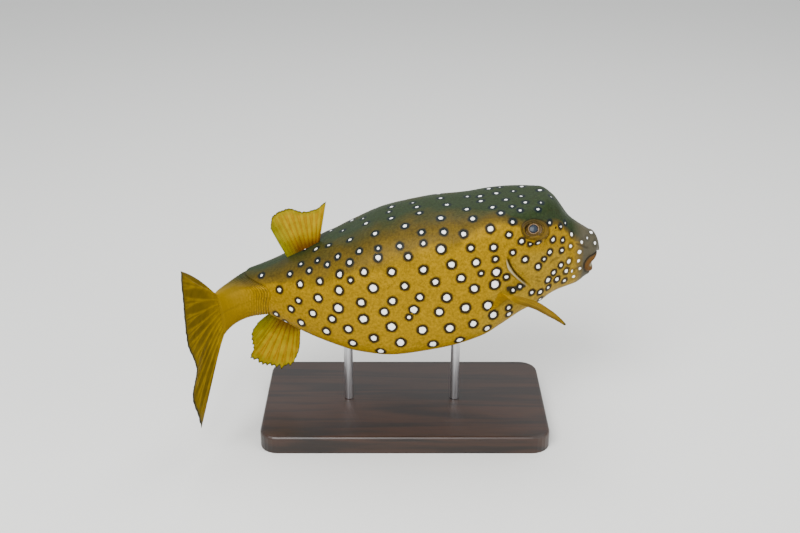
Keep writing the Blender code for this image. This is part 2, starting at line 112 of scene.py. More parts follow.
# Features of the head: places are distance behind the lips and girth
EYE_AT = (36.5, 0.180)
EYE_LOOK = (-0.116, -0.80, 0.588)
GILL_SLIT = ((55.6, 0.214), (54.0, 0.236), (51.3, 0.260), (47.5, 0.283), (43.0, 0.306))
NOSTRILS = ((23.6, 0.166), (20.8, 0.158))
LIP_RING = (
    (-2.95, 0.5), (-2.4, 0.26), (-0.5, 0.256), (2.0, 0.268), (2.9, 0.29),
    (2.4, 0.313), (0.2, 0.338), (-1.6, 0.40), (-1.9, 0.5),
)
MOUTH_HEIGHT = 0.0
HEAD_GIRTH = 215.0
RELIEF_END = 75.0
BLOTCH = ((56.0, 0.288), (51.5, 0.297), (47.0, 0.298))
# Creases of the cheek: places, width and depth in millimetres
CREASES = (
    (((29.5, 0.276), (25.5, 0.262), (21.0, 0.257)), 0.7, 0.55),
    (((39.5, 0.288), (34.8, 0.299)), 0.45, 0.4),
    (((39.3, 0.298), (35.2, 0.308)), 0.4, 0.3),
    (((12.0, 0.166), (8.0, 0.172), (2.3, 0.186)), 0.6, 0.35),
    (((14.5, 0.300), (10.0, 0.285), (7.0, 0.282)), 0.6, 0.4),
)

# Folds of the lids, in millimetres: height, distance from the opening's middle and width
LID_THICKNESS = 0.45
LID_FOLDS = ((0.4, 6.0, 0.45), (-0.45, 6.7, 0.3))
LID_OUTER_FOLDS = ((0.5, 7.2, 0.5), (-0.45, 8.2, 0.4))

# Fins, as in the solids
COLUMNS_PER_RAY = 20
FIN_ROWS = 70
RAY_FORKS = (0.3, 0.62)
ROOT_FLESH = 1.6 * MM
ROOT_SINK = 2.0
CAUDAL_SPREAD = (math.radians(39.5), math.radians(-56))
CAUDAL_TURN = (math.radians(82), math.radians(57))
CAUDAL_LENGTH = 42.5
CAUDAL_LOBES = 18.0
CAUDAL_BOW = 2.5
CAUDAL_STANDOFF = 0.45
CAUDAL_SINK = 1.2
CAUDAL_FOLD = ((0, 0), (0.2, 1.5), (0.4, 1.5), (0.6, 6.0), (0.8, 1.5), (0.9, 2.0), (1, 0))
DORSAL_BASE = (173.5, 191.0)
DORSAL_TIPS = ((165.3, 57), (173, 52.2), (181, 51.3), (189, 54.2), (196.5, 53), (201.5, 49), (203.5, 42))
ANAL_BASE = (193.5, 209.0)
ANAL_TIPS = (
    (196, -42), (199, -50.5), (204.5, -57.5), (212, -59), (219, -56),
    (225, -53), (231, -49), (227.5, -40), (227.5, -32), (222, -23),
)
FIN_LEAN = 2.0
PECTORAL_ROOT = ((61.5, 0.288), (69.5, 0.312))
PECTORAL_LINE = ((65.5, 36, -5), (55, 42.5, -1), (44, 50, -2.5), (33.5, 57, -6.5), (25, 62, -12))
PECTORAL_WIDTH = (9.0, 24.0)
PECTORAL_TWIST_END = 0.35
PECTORAL_TAPER = 0.45
PECTORAL_FACE = (0.116, 0.955, -0.25)

# Camera: it looks along +Y from 25 degrees above, at this point, from this far off
IMAGE_SIZE = (800, 533)
CAMERA_ELEVATION = math.radians(25)
CAMERA_TARGET = Vector((-3.2, 0.0, 111.0)) * MM
CAMERA_DISTANCE = 722 * MM
CAMERA_LOOK = np.array((0.0, math.cos(CAMERA_ELEVATION), -math.sin(CAMERA_ELEVATION)))
CAMERA_PLACE = np.array(CAMERA_TARGET) - CAMERA_LOOK * CAMERA_DISTANCE
LENS = 50.0
SENSOR = 36.0
FOCAL = LENS / SENSOR * IMAGE_SIZE[0]

# The border between the dark back and the yellow flank: distance behind the lips, share of the way
# down from crown to belly, and how sharp it is
CREASE_LINE = (
    (0, 0.32, 2.5), (12, 0.30, 3.0), (20, 0.30, 4.0), (29, 0.335, 5.0), (38, 0.32, 5.0),
    (46, 0.295, 4.5),
    (60, 0.242, 2.6), (85, 0.25, 1.3), (110, 0.255, 1.1), (135, 0.26, 1.1), (210, 0.25, 1.0),
)

# White spots by their place in the camera's image: across, down and half width, all in pixels
FLANK_SPOTS = (
    (261, 275.5, 1.8), (279.5, 289.8, 2.7), (289.5, 274, 1.8), (300.5, 284.3, 3), (309, 271, 2),
    (298.3, 300.5, 2.6), (291.3, 309, 2.9), (276, 314.2, 2.4), (286, 321.5, 2.0), (301.5, 322.8, 3.3),
    (308, 334, 3), (320, 281, 2.6), (318, 298, 4), (313, 313.5, 3.5), (326.5, 331.5, 3.7),
    (331.8, 343, 3), (339.8, 274.3, 3.5), (350.3, 280.7, 2), (339, 290.8, 4.2), (338.5, 308.3, 5.2),
    (331.8, 319, 3.6), (348, 328.8, 4), (353, 343, 3.7), (349.8, 262.5, 2.8), (364.2, 272, 3.4),
    (361, 302.5, 4.2), (363.5, 319, 4.8), (373.2, 288, 4.8), (373.8, 338, 4), (381, 351.5, 4.2),
    (392, 272, 3.8), (392.2, 301, 3.9), (384.5, 311.9, 4), (391.8, 326.5, 5), (401, 343, 5),
    (378.5, 258, 3.4), (408, 256.5, 3.2), (441.5, 249.5, 4.5), (463.5, 234, 3), (490.5, 229, 3.7),
    (423, 269.5, 3.8), (452, 264, 4.2), (470.8, 247.8, 3), (493.7, 247.2, 3.4), (476.3, 262.3, 3.7),
    (495.3, 259.3, 2.2), (481.5, 273.3, 1.7), (496.3, 272.3, 4.7), (494.5, 284.3, 5.3),
    (461.7, 278.5, 4), (435.8, 282.3, 3.7), (404.3, 285.8, 3.5), (419.8, 297, 3.5), (446.8, 298, 4.7),
    (474.5, 288.5, 4.3), (414, 309.3, 4.4), (439, 312, 4.2), (465.5, 308.3, 4.8), (488, 306, 4.9),
    (409, 317.7, 2.2), (493.7, 315, 4.4), (422.5, 329.5, 4.8), (449.8, 328.5, 4.9), (473.5, 323.5, 4),
    (487, 328.5, 3.6), (432.5, 344, 4.6), (460, 340, 4.2), (506.5, 277, 2.4), (508.5, 308, 2.3),
    (509, 314, 2.8),
)
BACK_SPOTS = (
    (301, 264.2, 1.7), (317, 260.3, 1.7), (327, 265, 2), (359.2, 251.5, 2.4), (378, 248, 2),
    (337.5, 256.2, 2.4), (350, 240, 2.6), (328.3, 245.2, 2), (316, 249.3, 2.6), (304.8, 249.3, 1.2),
    (312.8, 243.7, 1.2), (342.5, 230.5, 1.4), (375.2, 233.2, 2.8), (366, 223.5, 2.8), (363, 218.5, 1.2),
    (391.5, 218, 2.6), (389, 211.8, 1.5), (413, 203, 1.2), (416.5, 206.8, 2.4), (419.8, 213, 2.7),
    (405.2, 226, 3), (399.8, 245.5, 2.6), (421.5, 232, 2.4), (423, 243.2, 2.4), (440.5, 198, 2.4),
    (446.5, 204.7, 2.6), (440.5, 217.8, 3.4), (444, 232, 3), (466.5, 209, 2.6), (467.5, 196.5, 1.8),
    (472.3, 218.5, 3.3), (480.5, 201.3, 2.7), (492.5, 207, 2.7), (496, 193.5, 2.6), (499.7, 187.2, 1.4),
    (501, 213, 2.5), (505.8, 199.5, 2.4), (512.5, 206.5, 1.7), (513.5, 191, 1.4), (522, 186.3, 2.3),
    (521, 196.3, 1.7), (525.5, 202, 2.4), (520, 210.3, 1.5), (540, 190, 2.7), (540.5, 202.5, 1.1),
    (538.3, 209.5, 1.6), (550.8, 197, 1.2),
)
FACE_SPOTS = (
    (512.7, 221.5, 2.4), (509, 234.8, 2.4), (521.7, 241.3, 2.6), (530.2, 244, 1.4), (538.3, 243, 2.4),
    (549.6, 222.3, 1.6), (560, 226.5, 1.7), (565, 222.8, 1.2), (571.4, 234.5, 2.3), (591, 232.3, 2.2),
    (587, 237.8, 1.1), (553, 240, 2.5), (563, 240, 1.9), (570.8, 246.3, 2.2), (581.3, 242.2, 2.2),
    (550, 252.2, 2.5), (562, 250.5, 2), (579.3, 252, 2.7), (513, 252.3, 2.1), (525.4, 259.3, 2.9),
    (543.7, 259.4, 1.7), (538.4, 267, 3), (561, 265.4, 2.4), (569, 261.5, 3), (578.2, 260.8, 2.3),
    (580, 268.5, 1.8), (554, 272.3, 2.4), (566, 270.8, 2.9), (572, 271, 1.6), (548, 280.3, 3.1),
    (557, 279, 2.7), (564, 281, 2.2), (573.5, 276.5, 2.6), (531.8, 292.3, 2.2), (540.2, 292, 2.7),
    (548.3, 287.5, 2), (540.5, 299, 2), (520, 287, 2), (513, 290.3, 2.1), (595, 243, 2.2),
)
# A pale spot looks wider than it is, so its radius is this share of the half width
SPOTS = ((FLANK_SPOTS, 0.69), (BACK_SPOTS, 0.64), (FACE_SPOTS, 0.68))
# Least distance of a mirrored spot, distances on the head and flank of those out of sight, in
# millimetres, and the radius of those as a share of their distance
MIRRORED_ROOM = 7.0
HIDDEN_ROOM = (7.5, 12.5)
HIDDEN_RADIUS = (0.15, 0.22)

# Masks that the relief paints, among them painted shade in slits, grooves, holes and the stem's folds;
# settings that many nodes share; and the range most noise lies in
PAINT = ("lip", "cream", "recess_shade", "lid", "fold", "blotch")
COLOURS = {"give": 2, "data_type": "RGBA"}
SOFT = {"interpolation_type": "SMOOTHSTEP"}
NOISE = {"From Min": 0.3, "From Max": 0.7}


def linear(code):
    """An sRGB hex colour as linear red, green and blue."""
    parts = [int(code[i : i + 2], 16) / 255 for i in (1, 3, 5)]
    return tuple(p / 12.92 if p <= 0.04045 else ((p + 0.055) / 1.055) ** 2.4 for p in parts)


def colour(name, description, code):
    return FloatVectorProperty(
        name=name, description=description, subtype="COLOR", size=3, min=0, max=1, default=linear(code)
    )


def length(name, description, default):
    return FloatProperty(name=name, description=description, default=default, min=0, unit="LENGTH")


def power(name, description, default):
    return FloatProperty(name=name, description=description, default=default, min=0, unit="POWER")


class BoxfishSkin(bpy.types.PropertyGroup):
    """Mesh, relief and colours of the skin."""

    around: IntProperty(name="Points around", description="Points in a ring of skin", default=216, min=64)
    back: colour("Back", "Dark olive of the back", "#232e17")
    shoulder: colour("Shoulder", "Brown between the back and the flank", "#4a3c10")
    flank: colour("Flank", "Mustard yellow of the flank", "#886900")
    stem: colour("Stem", "Olive of the tail stem's end", "#7a6000")
    belly: colour("Belly", "Paler yellow of the belly", "#8a6e16")
    muzzle: colour("Muzzle", "Grey-brown skin round the mouth", "#454133")
    border: colour("Plate border", "Brown lines between the bone plates", "#2f2407")
    # Dark olive painted shade in the grooves of the stem's folds
    fold_shade: colour("Crease", "Dark olive in the folds of the stem", "#2c2406")
    # Near-black painted shade in slits, grooves, nostrils, the open mouth and round the eyes
    lid: colour("Lid", "Olive brown of the lids", "#43330f")
    recess_shade: colour("Recess shade", "Near-black of slits and grooves", "#150e05")
    ring: colour("Spot ring", "Near-black ring round a spot", "#120e06")
    ring_upper: colour("Back ring", "Blue-black ring round a spot on the back", "#081418")
    core: colour("Spot", "White of a spot", "#fffffc")
    lip: colour("Lip", "Brown-orange of the lips", "#523717")
    cream: colour("Cream", "Cream edge of gill and lips", "#9a8f6c")


class BoxfishFins(bpy.types.PropertyGroup):
    """Sheets and colours of the fins."""

    membrane: length("Membrane", "Thickness of the skin between rays", 0.5 * MM)
    ray: length("Ray", "Thickness of a ray at its root", 1.9 * MM)
    yellow: colour("Yellow", "Yellow of dorsal and anal fin", "#917a00")
    orange: colour("Orange", "Orange of the rays of dorsal and anal fin", "#8c6600")
    edge: colour("Edge", "Dark torn edge of the fins", "#332f0c")
    paddle: colour("Pectoral", "Olive brown of the pectoral rays", "#74590a")
    paddle_dark: colour("Pectoral bands", "Dark brown between the pectoral rays", "#54400a")
    tail_edge: colour("Tail edge", "Blue-green edge of the tail fin", "#1a2421")
    green: colour("Green", "Green of the rear margins", "#6e6c08")
    root: colour("Root", "Orange-brown at the roots", "#5c3605")
    root_yellow: colour("Pectoral root", "Mustard of the pectoral roots", "#8a6a00")
    tail: colour("Tail", "Olive yellow of the tail fin", "#7c6300")
    # Between the rays this is the fin's own tint; at the tail fin's tips it is painted shade
    tail_band_and_tip_shade: colour("Tail bands", "Dark olive between tail rays", "#5c4a04")


class BoxfishEyes(bpy.types.PropertyGroup):
    """Colours of the eyes."""

    pupil: colour("Pupil", "Blue-grey of the pupil", "#252c35")
    rim: colour("Rim", "Black round the pupil", "#0a0909")
    iris: colour("Iris", "Golden brown of the iris", "#42310e")
    pale: colour("Iris ring", "Pinkish cream ring in the iris", "#8c725a")


class BoxfishStand(bpy.types.PropertyGroup):
    """Finishes of the stand."""

    wood: colour("Walnut", "Dark stained walnut", "#301c11")
    grain: colour("Grain", "Dark lines of the grain", "#180e09")
    steel: colour("Steel", "Brushed stainless steel", "#c9c9cc")


class BoxfishStage(bpy.types.PropertyGroup):
    """Floor and light."""

    floor: colour("Floor", "Pale matt floor", "#d9d9d6")
    sky: colour("Surroundings", "Pale grey light from all round", "#e8eaec")
    key: power("Key light", "Power of the main soft light", 22.0)
    fill: power("Fill light", "Power of the second light", 7.5)
    top: power("Top light", "Power of the light above", 8.5)


def blend(first, last, share):
    return first + (last - first) * share


def column(rows, k):
    return [row[k] for row in rows]


def eased(rows, x, k=1):
    """A smooth curve through column k of the rows over their first column, with no overshoot."""
    knots = np.array(column(rows, 0), float)
    values = np.array(column(rows, k), float)
    steps = np.diff(knots)
    slopes = np.diff(values) / steps
    before, after = slopes[:-1], slopes[1:]
    rising = before * after > 0
    near = 2 * steps[1:] + steps[:-1]
    far = steps[1:] + 2 * steps[:-1]
    mean = (near + far) / (near / np.where(rising, before, 1) + far / np.where(rising, after, 1))
    turns = np.concatenate(([slopes[0]], np.where(rising, mean, 0), [slopes[-1]]))
    x = np.clip(x, knots[0], knots[-1])
    i = np.clip(np.searchsorted(knots, x, side="right") - 1, 0, len(steps) - 1)
    t = (x - knots[i]) / steps[i]
    return (
        values[i] * (1 + 2 * t) * (1 - t) ** 2
        + steps[i] * turns[i] * t * (1 - t) ** 2
        + values[i + 1] * t * t * (3 - 2 * t)
        - steps[i] * turns[i + 1] * t * t * (1 - t)
    )


def smooth(low, high, x):
    """An S from 0 at low to 1 at high; low may be the larger of the two."""
    t = np.clip((x - low) / (high - low), 0, 1)
    return t * t * (3 - 2 * t)


def hump(x, at, wide):
    """1 at a place, and less the further from it."""
    return np.exp(-(((x - at) / wide) ** 2))


def unit(vectors):
    return vectors / np.linalg.norm(vectors, axis=-1, keepdims=True)


def in_world(behind, side, height):
    """Points of the body's own axes, in millimetres, on the pitched body over the base."""
    ahead = BODY_MIDDLE - np.asarray(behind, float)
    return (
        np.stack(
            np.broadcast_arrays(
                ahead * math.cos(PITCH) - height * math.sin(PITCH),
                side,
                BODY_HEIGHT + ahead * math.sin(PITCH) + height * math.cos(PITCH),
            ),
            axis=-1,
        )
        * MM
    )


def square_point(girth, squareness):
    """Outward and upward parts of a rounded square whose half sides are 1."""
    run = 4 * (1 - np.abs(2 * (girth % 1.0) - 1))
    out = np.clip(np.minimum(run, 4 - run), 0, 1)
    up = np.clip(2 - run, -1, 1)
    reach = (out**squareness + np.abs(up) ** squareness) ** (1 / squareness)
    return out / reach, up / reach


def body_place(behind, girth):
    """The smooth body in the world, for arrays of distance behind the lips and girth."""
    first = SECTIONS[0][0]
    ridge, ridge_up, rise, keel, keel_up, sag, squareness = [
        eased(SECTIONS, np.maximum(behind, first), k) for k in range(1, 8)
    ]
    out, up = square_point(girth, squareness)
    share = (up + 1) / 2
    shrink = np.sin(np.arccos(np.clip((first - behind) / SNOUT_ROUND, 0, 1)))
    height = blend(keel_up, ridge_up, share)
    height = height + rise * share**2 * (1 - out**3) - sag * (1 - share) ** 2 * (1 - out**2)
    height = blend((ridge_up + keel_up) / 2 + 1.5, height, shrink)
    side = np.where(girth % 1.0 < 0.5, -1, 1) * out * blend(keel, ridge, share) * shrink
    lean = np.maximum(0, behind - RIM_LEAN_START) / (RIM_AT - RIM_LEAN_START)
    slant = RIM_LEAN * lean**3 * np.maximum(0, share - 0.3) / 0.7 * (1 - 0.75 * out**2)
    slant = slant - SNOUT_LEAN * np.maximum(0, 1 - behind / SNOUT_LEAN_END) ** 2 * (share - 0.45)
    return in_world(behind + slant, side, height)


def body_normal(behind, girth):
    """The body's outward directions."""
    along = body_place(behind - 0.4, girth) - body_place(behind + 0.4, girth)
    around = body_place(behind, girth + 0.003) - body_place(behind, girth - 0.003)
    return unit(np.cross(around, along))


def on_side(girth, side):
    """The girth as given on the right side, where side is -1, or mirrored to the left."""
    return girth if side < 0 else 1 - girth


def heading(turn):
    """Backward along the body, turned towards the fish's right."""
    straight = Vector((-math.cos(PITCH), 0, -math.sin(PITCH)))
    return straight * math.cos(turn) + Vector((0, -math.sin(turn), 0))


def stem_frame(along):
    """Middle, heading, upward and sideways directions and half sizes at a share of the tail stem."""
    steps = 200
    point = Vector(in_world(STEM_START, 0.0, -0.5))
    for k in range(round(along * steps)):
        turn = STEM_BEND * ((k + 0.5) / steps) ** STEM_EASE
        point += heading(turn) * STEM_LENGTH * MM / steps
    point.z -= STEM_DROOP * MM * along**2
    back = heading(STEM_BEND * along**STEM_EASE)
    upright = Vector((-math.sin(PITCH), 0, math.cos(PITCH)))
    up = (upright - back * upright.dot(back)).normalized()
    return point, back, up, up.cross(back), eased(STEM_SIZES, along, 1), eased(STEM_SIZES, along, 2)


def stem_place(along, girth):
    """The tail stem's surface in the world, for arrays of shares along it and girths."""
    shares = np.linspace(0, 1, 61)
    stations = [stem_frame(share) for share in shares]
    point, up, across = [
        np.stack(
            [np.interp(along, shares, [station[k][axis] for station in stations]) for axis in range(3)],
            axis=-1,
        )
        for k in (0, 2, 3)
    ]
    wide, high = [np.interp(along, shares, column(stations, k)) for k in (4, 5)]
    out, level = square_point(girth, STEM_SQUARE)
    out = np.where(girth < 0.5, out, -out)
    return point + (across * (out * wide)[:, None] + up * (level * high)[:, None]) * MM


def eye_frame(side):
    """Middle and radius of an eye, and the direction in which it looks."""
    low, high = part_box("eye_right" if side < 0 else "eye_left")
    middle = (Vector(low) + Vector(high)) / 2
    look = Vector((EYE_LOOK[0], -EYE_LOOK[1] * side, EYE_LOOK[2]))
    return middle, (high[2] - low[2]) / 2, look.normalized()


def from_line(points, line):
    """For each point: its distance to a polyline, the nearest place on it and the share along it."""
    best = np.full(len(points), 1e9)
    foot = np.zeros_like(points)
    share = np.zeros(len(points))
    for k in range(len(line) - 1):
        start, way = line[k], line[k + 1] - line[k]
        t = np.clip((points - start) @ way / (way @ way), 0, 1)
        near = start + t[:, None] * way
        far = np.linalg.norm(points - near, axis=1)
        closer = far < best
        best = np.where(closer, far, best)
        share = np.where(closer, (k + t) / (len(line) - 1), share)
        foot[closer] = near[closer]
    return best, foot, share


# Rows of the skin: the snout's closing round, the head in close rows, then the torso
SNOUT_ROWS = [SECTIONS[0][0] - SNOUT_ROUND * math.cos(math.pi / 2 * k / 30) for k in range(31)]
HEAD_ROWS = list(np.arange(2.4, 62, 0.75))
TORSO_ROWS = list(np.linspace(62.4, RIM_AT, 128))
BODY_ROWS = SNOUT_ROWS + HEAD_ROWS + TORSO_ROWS
STEM_ROWS = 92


def rim_behind(girth):
    """The carapace's rear rim: it bows forward on the flank."""
    down = 1 - np.abs(2 * girth - 1)
    return RIM_AT - RIM_BOW * hump(down, 0.36, 0.14)


def rim_and_stem(row, girth):
    """A ring past the carapace's rear rim: rows 1 to 3 turn in under it, the rest follow the stem."""
    out, level = square_point(girth, RIM_SQUARE)
    slant = RIM_LEAN * np.maximum(0, (level + 1) / 2 - 0.3) / 0.7 * (1 - 0.75 * out**2)
    start = np.maximum((rim_behind(girth) + slant - STEM_START) / STEM_LENGTH, 0)
    rim = body_place(rim_behind(girth), girth)
    inward = unit(rim.mean(axis=0) - rim) * MM
    back = np.array(heading(0.0)) * MM
    if row <= len(RIM_TUCK):
        turn_in, carry = RIM_TUCK[row - 1]
        return rim + inward * turn_in + back * carry
    t = (row - 4) / (STEM_ROWS - 5)
    foot = rim + inward * 1.3 + back * 0.5
    surface = stem_place(blend(start, 1.0, min(t, 1.0)), girth)
    return surface + (foot - stem_place(start, girth)) * (1 - smooth(0, 0.55, t))


def skin_sheet(around):
    """The skin laid flat: girth along X, rows along Y, with closer mesh at eyes, nostrils and gills."""
    rows = len(BODY_ROWS) + STEM_ROWS
    bm = bmesh.new()
    bmesh.ops.create_grid(bm, x_segments=around, y_segments=rows - 1, size=0.5)
    bmesh.ops.transform(bm, matrix=Matrix.Diagonal((1, rows - 1, 1, 1)), verts=bm.verts[:])
    bmesh.ops.translate(bm, vec=(0.5, (rows - 1) / 2, 0), verts=bm.verts[:])
    slits = (*GILL_SLIT, *NOSTRILS)
    for places in (
        [(EYE_AT, 13.0), *((place, 7.15) for place in slits)],
        [(place, 2.31) for place in slits],
    ):
        close = set()
        for face in bm.faces:
            middle = face.calc_center_median()
            if middle.y > len(BODY_ROWS) - 2:
                continue
            behind = np.interp(middle.y, range(len(BODY_ROWS)), BODY_ROWS)
            girth = min(middle.x, 1 - middle.x)
            for (at, at_girth), wide in places:
                if math.hypot(behind - at, (girth - at_girth) * HEAD_GIRTH) < wide:
                    close.update(face.edges)
                    break
        bmesh.ops.subdivide_edges(bm, edges=list(close), cuts=1, use_grid_fill=True)
    return bm


def on_skin(line, side):
    """Points on the body through a few places, on one side."""
    behind, girth = column(line, 0), column(line, 1)
    shares = np.linspace(0, 1, 8 * (len(line) - 1) + 1)
    knots = list(zip(np.linspace(0, 1, len(line)), behind, girth))
    return body_place(eased(knots, shares, 1), on_side(eased(knots, shares, 2), side))


def eye_relief(places, side):
    """Skin drawn over the ball up to a level opening, with folds round it; and its paint masks.

    A ring is a level oval round the opening. The outer one runs out to the front corner.
    """
    middle, radius, axis = eye_frame(side)
    middle, axis = np.array(middle), np.array(axis)
    away = (places - middle) / MM
    reach = np.linalg.norm(away, axis=1)
    forward = np.array(heading(0.0)) * -1
    forward = forward - axis * (forward @ axis)
    forward = forward / np.linalg.norm(forward)
    upward = np.cross(axis, forward)
    upward = upward * np.sign(upward[2])
    near = (reach < 22) & (away @ axis > -2)
    cover = radius / MM + LID_THICKNESS
    spread = np.maximum(1, cover / reach)
    across, level = away @ forward * spread, away @ upward * spread
    ring = np.hypot(across, level * np.where(level > 0, 1.42, 1.25))
    outer = across - 0.7 - 1.0 * smooth(1, 8, across)
    outer = np.hypot(outer, level * np.where(level > 0, 1.32, 1.22))
    fold = sum(height * hump(ring, at, wide) for height, at, wide in LID_FOLDS)
    fold += sum(height * hump(outer, at, wide) for height, at, wide in LID_OUTER_FOLDS)
    inside = smooth(5.6, 5.2, ring) * near
    covered = 0.5 * (reach + cover + np.sqrt((reach - cover) ** 2 + 0.15))
    wanted = blend(np.where(near, covered, reach), cover - 2.5, inside)
    move = away * (wanted / reach - 1)[:, None] * smooth(14, 11, reach)[:, None]
    lid = near * smooth(8.4, 7.6, outer)
    # Painted shade in the grooves of the lid folds and just inside the opening
    recess_shade = 0.7 * hump(ring, 6.7, 0.3) + 0.8 * hump(outer, 8.1, 0.35) + 0.9 * smooth(5.9, 5.6, ring)
    return move * MM, np.where(near, fold, 0), lid, np.where(near, np.clip(recess_shade, 0, 1), 0)


def gill_relief(places, side):
    """The gill slit: the cheek dips into it from the front, and a pale lip stands behind it."""
    far, foot, share = from_line(places / MM, on_skin(GILL_SLIT, side) / MM)
    ends = smooth(0, 0.15, share) * smooth(1, 0.8, share)
    rear = (places / MM - foot) @ np.array(heading(0.0)) > 0
    signed = np.where(rear, far, -far)
    near = far < 9
    lift = -2.1 * hump(signed, 0, 0.75) * (0.35 + 0.65 * ends)
    lift += (0.75 * hump(signed, 1.5, 0.8) - 0.9 * hump(signed, -1.6, 1.5) * ~rear) * ends
    wide = 0.6 + 1.1 * hump(share, 0.3, 0.2)
    cream = smooth(0.35, 0.6, signed) * smooth(wide + 0.7, wide + 0.3, signed) * ends
    # Painted shade in the slit's groove and in a thin line behind the pale lip
    recess_shade = hump(signed, -0.35, 0.75) * (0.3 + 0.7 * ends)
    recess_shade = np.maximum(recess_shade, 0.55 * hump(signed, wide + 1.0, 0.4) * ends)
    return np.where(near, lift, 0), np.where(near, cream, 0), np.where(near, recess_shade, 0)


def mouth_relief(places):
    """A ring of lip round an open mouth: moves outward and back, in millimetres, and paint masks."""
    best = np.full(len(places), 1e9)
    inner = np.zeros(len(places), bool)
    centre = in_world(-1.0, 0.0, MOUTH_HEIGHT) / MM
    for side in (-1, 1):
        far, foot, _ = from_line(places / MM, on_skin(LIP_RING, side) / MM)
        off, inwards = places / MM - foot, centre - foot
        within = off[:, 1] * inwards[:, 1] + off[:, 2] * inwards[:, 2] > 0
        inner = np.where(far < best, within, inner)
        best = np.minimum(best, far)
    off = places / MM - centre
    core = np.hypot(off[:, 1] / 1.6, off[:, 2])
    lift = 1.3 * hump(best, 0, 1.9) - 0.6 * hump(best, 3.1, 0.5) * ~inner
    push = smooth(7.0, 4.0, core) * (0.9 + 0.5 * smooth(0, 4, off[:, 2])) + smooth(2.0, 0.6, core)
    lip = smooth(2.6, 2.1, best) * np.where(inner, smooth(2.0, 1.5, best), 1.0)
    cream = 0.45 * inner * smooth(1.5, 2.0, best) * smooth(2.0, 2.6, core)
    # Painted shade inside the open mouth and in the groove round the lips
    recess_shade = np.maximum(smooth(2.5, 1.7, core), ~inner * hump(best, 2.8, 0.45))
    return lift, push, lip, cream, recess_shade


def skin_relief(places, normals, behind):
    """Folds, lids, lips and slits: moves the head's places and gives its paint masks."""
    lift = np.zeros(len(places))
    moved = np.zeros_like(places)
    masks = {name: np.zeros(len(places)) for name in PAINT}

    def paint(name, values):
        masks[name] = np.maximum(masks[name], values)

    for side in (-1, 1):
        move, fold, lid, recess_shade = eye_relief(places, side)
        moved += move
        lift += fold
        paint("lid", lid)
        paint("recess_shade", recess_shade)
        rise, cream, recess_shade = gill_relief(places, side)
        lift += rise
        paint("cream", cream)
        paint("recess_shade", 0.85 * recess_shade)
        for at, at_girth in NOSTRILS:
            hole = body_place(at, on_side(at_girth, side)) / MM
            far = np.linalg.norm(places / MM - hole, axis=1)
            lift += 0.4 * hump(far, 1.3, 0.5) - 1.2 * hump(far, 0, 0.7)
            # Painted shade in the nostril's hole
            paint("recess_shade", smooth(1.0, 0.5, far))
        for line, wide, deep in CREASES:
            far, _, share = from_line(places / MM, on_skin(line, side) / MM)
            ends = smooth(0, 0.2, share) * smooth(1, 0.8, share)
            cut = hump(far, 0, wide) * ends
            lift += deep * (0.6 * hump(far, 2.2 * wide, wide) * ends - cut)
            # Painted shade in the crease's groove
            paint("recess_shade", 0.5 * cut)
        # A dark teal blotch over the root of the pectoral fin
        far, _, _ = from_line(places / MM, on_skin(BLOTCH, side) / MM)
        paint("blotch", smooth(2.6, 1.4, far))
    rise, push, lip, cream, recess_shade = mouth_relief(places)
    mouth = behind < 14
    lift += rise * mouth
    moved += np.outer(push * mouth * MM, heading(0.0))
    for name, values in (("lip", lip), ("cream", cream), ("recess_shade", recess_shade)):
        paint(name, values * mouth)
    return places + moved + normals * (lift * (behind < RELIEF_END))[:, None] * MM, masks


def skin_places(bm):
    """The body's places for the vertices of the flat sheet, and their paint masks."""
    flat = np.array([vert.co[:2] for vert in bm.verts])
    girth, row = flat[:, 0], flat[:, 1]
    last = len(BODY_ROWS) - 1
    behind = np.interp(row, range(len(BODY_ROWS)), BODY_ROWS)
    behind = behind - (RIM_AT - rim_behind(girth)) * smooth(175, RIM_AT, behind)
    places = body_place(behind, girth)
    normals = body_normal(np.maximum(behind, -2.99), girth)
    places, masks = skin_relief(places, normals, behind)
    for name in masks:
        masks[name] = masks[name] * (row <= last)
    for k in range(1, STEM_ROWS + 1):
        these = np.isclose(row, last + k)
        ring = rim_and_stem(k, girth[these])
        if k == STEM_ROWS:
            ring = np.tile(ring.mean(axis=0), (len(ring), 1))
        elif k > 4:
            # Fine folds of loose skin, a few rows apart, that fade away from the rim; their grooves get
            # painted shade
            turn = math.tau * girth[these]
            wobble = 0.5 * np.sin(2 * turn) + 0.2 * np.sin(5 * turn)
            wave = np.cos(math.tau * (k - 4) / STEM_FOLD_ROWS + wobble) * smooth(60, 10, k)
            ring += unit(ring - ring.mean(axis=0)) * (-STEM_FOLD_DEPTH * MM * wave)[:, None]
            masks["fold"][these] = np.clip(wave, 0, 1)
        places[these] = ring
        behind[these] = RIM_AT + (k - 5) / (STEM_ROWS - 6) * STEM_LENGTH
    masks["behind"] = behind
    down = 1 - np.abs(2 * girth - 1)
    border = eased(CREASE_LINE, behind) + 0.06 * (girth > 0.5) * smooth(45, 70, behind)
    masks["zone"] = (down - border) * eased(CREASE_LINE, behind, 2) + 0.25
    return places, masks


def set_places(bm, places, masks):
    """Moves the vertices to their places and gives them their masks as attributes."""
    for name, values in masks.items():
        layer = bm.verts.layers.float.new(name)
        for vert, value in zip(bm.verts, values):
            vert[layer] = value
    for vert, place in zip(bm.verts, places):
        vert.co = place


def mesh_from(bm, name):
    mesh = bpy.data.meshes.new(name)
    bm.to_mesh(mesh)
    bm.free()
    return mesh


def add_piece(name, mesh, material, slot, *nodes):
    """Shows a piece that rides on the model's one body in place of its nodes."""
    piece = bpy.data.objects.new(name, mesh)
    bpy.context.scene.collection.objects.link(piece)
    mesh.materials.append(material)
    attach(piece, "root")
    if nodes:
        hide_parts(*nodes)
    return piece


